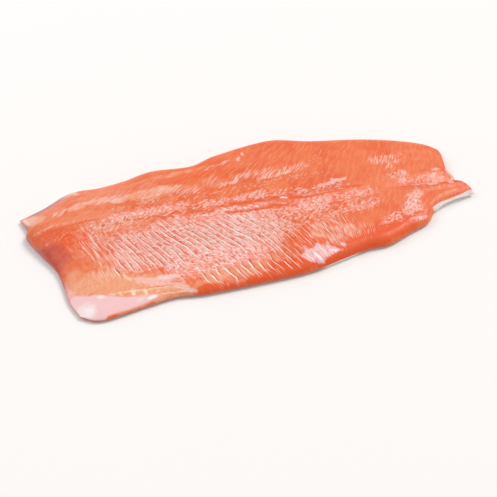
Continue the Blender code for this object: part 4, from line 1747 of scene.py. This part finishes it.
@dataclass
class Skin:
    """The skin: a thin layer under the flesh, whose cut rim shows past it.

    Attributes:
        form: The fillet's shape.
        finish: The skin's finish.
        spacing: How fine its grid is.
        gap: The play between the flesh and the skin.
        rim_span: Where the rim's colour starts to fade and is gone, in from the edge.
        rim_out: How far the rim stands out past the flesh.
        rim_turns: Rings of vertices round the rounded rim.
        ragged: How unevenly the rim was cut.
        cuts: The length and the start of each wave of the uneven cut, in millimetres and radians.
        lips: Where the rim turns up: place on the plan in millimetres, reach, out and up.
        lip_bulge: How much further up the rim's roundness takes a lip.
        lip_ragged: How unevenly a lip stands up, as a share of its height.
        lip_fullness: How much further than its height a lip's colour reaches.
    """

    form: Form
    finish: TroutSkin = TroutSkin()
    spacing: Spacing = Spacing((0.0, 0.003, 0.007, 0.014), 240, (0.0, 0.012, 0.030, 0.070), 30)
    gap: float = 0.1 * MM
    rim_span: Point = (2.0 * MM, 7.0 * MM)
    rim_out: float = 0.3 * MM
    rim_turns: int = 5
    ragged: float = 0.25 * MM
    cuts: tuple[Point, ...] = ((2.1, 0), (3.7, 1), (6.3, 2))
    lips: tuple[tuple[Point, float, float, float], ...] = (
        ((203.0, -44.0), 36 * MM, 2.0 * MM, 5.6 * MM),
        ((219.7, -8.1), 20 * MM, 1.0 * MM, 3.0 * MM),
        ((62.1, -91.8), 26 * MM, 0.3 * MM, 0.7 * MM),
        ((-178.0, 80.0), 20 * MM, 0.5 * MM, 1.5 * MM),
    )
    lip_bulge: float = 1.3
    lip_ragged: float = 0.4
    lip_fullness: float = 3.0

    def build(self) -> bpy.types.Object:
        """Build and dress the skin.

        Returns:
            The finished piece.
        """
        plan = self.form.plan(self.spacing)
        upper = self.form.under_height(plan) - self.gap
        lower = np.maximum(upper - self.form.skin_thickness, 0)
        points = [plan.at_height(upper), plan.at_height(lower)]
        size = plan.numbers.size
        cells = plan.cells()
        faces = cells.tolist() + (cells[:, ::-1] + size).tolist()
        loop = np.array([plan.numbers[place] for place in plan.loop(0)])
        rings = [loop]
        for turn in range(1, self.rim_turns + 1):
            rings.append(2 * size + (turn - 1) * len(loop) + np.arange(len(loop)))
            points.append(self.rim_ring(points[0][loop], points[1][loop], turn / (self.rim_turns + 1)))
        rings.append(loop + size)
        for inner, outer in zip(rings, rings[1:]):
            ahead = [np.roll(inner, -1), np.roll(outer, -1)]
            faces += np.stack([inner, outer, ahead[1], ahead[0]], axis=-1).tolist()
        side = plan.midline / np.where(plan.midline > 0, plan.midline[:, -1:], -plan.midline[:, :1])
        rim = 1 - ease(plan.edge, *self.rim_span)
        near = sum(self.closeness(plan.points.reshape(-1, 2), lip[0], lip[1]) for lip in self.lips)
        lip = np.clip(self.lip_fullness * near, 0, 1).reshape(plan.edge.shape) * rim
        values = {
            name: np.concatenate([cover.ravel(), cover.ravel(), np.tile(cover.ravel()[loop], self.rim_turns)])
            for name, cover in ((SKIN_SIDE, side), (SKIN_RIM, rim), (SKIN_LIP, lip))
        }
        item = make_object("skin_layer", np.vstack(points), faces, values)
        item.data.materials.append(self.finish.material())
        return item

    def closeness(self, points: Array, place: Point, reach: float) -> Array:
        """Say how close points are to a place on the plan: 1 there, and 0 at reach."""
        centre = (np.array(self.form.low[:2]) + np.array(self.form.high[:2])) / 2
        return hump(np.linalg.norm(points - centre - np.array(place) * MM, axis=1), reach)

    def rim_ring(self, upper: Array, lower: Array, turn: float) -> Array:
        """Work out one ring of the rounded rim.

        Args:
            upper: The skin's upper edge.
            lower: The skin's lower edge.
            turn: How far round the rim the ring lies, from the upper edge (0) to the lower one (1).

        Returns:
            The ring's points.
        """
        ahead = np.roll(upper[:, :2], -1, axis=0) - np.roll(upper[:, :2], 1, axis=0)
        outward = np.column_stack([ahead[:, 1], -ahead[:, 0]])
        outward /= np.linalg.norm(outward, axis=1, keepdims=True)
        out = np.full(len(upper), self.rim_out)
        up = np.zeros(len(upper))
        for place, reach, lip_out, lip_up in self.lips:
            near = self.closeness(upper[:, :2], place, reach)
            out += lip_out * near
            up += lip_up * near
        travelled = np.cumsum(np.linalg.norm(ahead, axis=1)) / 2
        waves = sum(np.sin(travelled / (length * MM) + start) for length, start in self.cuts) / len(self.cuts)
        out += self.ragged * (waves - 1) / 2
        up += self.lip_ragged * up * waves
        arc = np.sin(np.pi * turn)
        raised = up * (1 - turn) * np.sqrt(arc) * self.lip_bulge
        height = upper[:, 2] * (1 - turn) + lower[:, 2] * turn + raised
        return np.column_stack([upper[:, :2] + outward * (out * arc)[:, None], height])


@dataclass(frozen=True)
class Softbox:
    """A square soft light.

    Attributes:
        place: Where it hangs.
        size: The length of its side.
        power: Its power in watts.
        colour: Its sRGB colour.
    """

    place: Place
    size: float
    power: float
    colour: str


@dataclass(frozen=True)
class Studio:
    """A pale floor, soft light and the camera.

    Attributes:
        camera_place: Where the camera stands.
        look_at: The place that it looks at.
        lens: Its focal length in millimetres.
        sensor: The width of its sensor in millimetres.
        floor_colour: The floor's sRGB colour.
        floor_size: The length of the floor's side.
        sky: How bright the light from all round is.
        lights: The soft lights.
    """

    camera_place: Place = (-0.1848, -0.6079, 0.5647)
    look_at: Place = (-0.0187, -0.0472, 0.0)
    lens: float = 60.0
    sensor: float = 36.0
    floor_colour: str = "#FAF9F8"
    floor_size: float = 8.0
    sky: float = 0.56
    lights: tuple[Softbox, ...] = (
        Softbox((6.3, 2.55, 7.8), 3.9, 540.0, "#FFF8F2"),
        Softbox((-2.4, 1.8, 2.6), 2.0, 31.0, "#F6F8FF"),
    )

    def build(self) -> None:
        """Lay the floor, hang the lights and set the camera."""
        scene = bpy.context.scene
        scene.view_settings.view_transform = "Standard"
        self.lay_floor()
        for number, light in enumerate(self.lights):
            lamp = bpy.data.lights.new(f"softbox_{number}", "AREA")
            lamp.size = light.size
            lamp.energy = light.power
            lamp.color = linear(light.colour)[:3]
            self.aim(bpy.data.objects.new(lamp.name, lamp), light.place, (0, 0, 0))
        world = bpy.data.worlds.new("studio_light")
        world.use_nodes = True
        fill_node(world.node_tree.nodes["Background"], {
            "Color": (1.0, 1.0, 1.0, 1.0), "Strength": self.sky,
        })
        scene.world = world
        camera = bpy.data.cameras.new("camera")
        camera.lens = self.lens
        camera.sensor_width = self.sensor
        scene.camera = self.aim(bpy.data.objects.new("camera", camera), self.camera_place, self.look_at)

    def lay_floor(self) -> None:
        """Lay a plain pale floor of matt card."""
        half = self.floor_size / 2
        corners = np.array([(-half, -half, 0), (half, -half, 0), (half, half, 0), (-half, half, 0)])
        floor = make_object("floor", corners, [[0, 1, 2, 3]], {})
        material, _, shader = start_material("matt_white_card")
        fill_node(shader, {
            "Base Color": linear(self.floor_colour), "Roughness": 0.9, "Specular IOR Level": 0.2,
        })
        floor.data.materials.append(material)

    @staticmethod
    def aim(item: bpy.types.Object, place: Place, target: Place) -> bpy.types.Object:
        """Put an object in the scene.

        Args:
            item: The object.
            place: Where it goes.
            target: The place that it looks at.

        Returns:
            The object.
        """
        item.location = place
        item.rotation_euler = (Vector(target) - Vector(place)).to_track_quat("-Z", "Y").to_euler()
        bpy.context.scene.collection.objects.link(item)
        return item


def hand_over(piece: bpy.types.Object, slot: str, *nodes: str) -> None:
    """Fix a piece to the body, hide the CAD solids that it stands for, and log its size.

    Args:
        piece: The piece.
        slot: The record's material slot. It is not used.
        nodes: The CAD solids that it stands for.
    """
    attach(piece, BODY)
    if nodes:
        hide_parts(*nodes)
    log.info("%s: %d vertices, %d faces", piece.name, len(piece.data.vertices), len(piece.data.polygons))


def main() -> None:
    """Build the fillet piece by piece, then the studio."""
    logging.basicConfig(level=logging.INFO, format="%(name)s: %(message)s")
    form = Form(*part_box("flesh"))
    flesh = Flesh(form).build()
    hand_over(flesh, "flesh", "flesh")
    hand_over(Skin(form).build(), "skin", "skin")
    hand_over(FatSpecks(flesh).build(), "flesh")
    hand_over(PinBoneEnds(flesh).build(), "flesh")
    Studio().build()


if __name__ == "__main__":
    main()
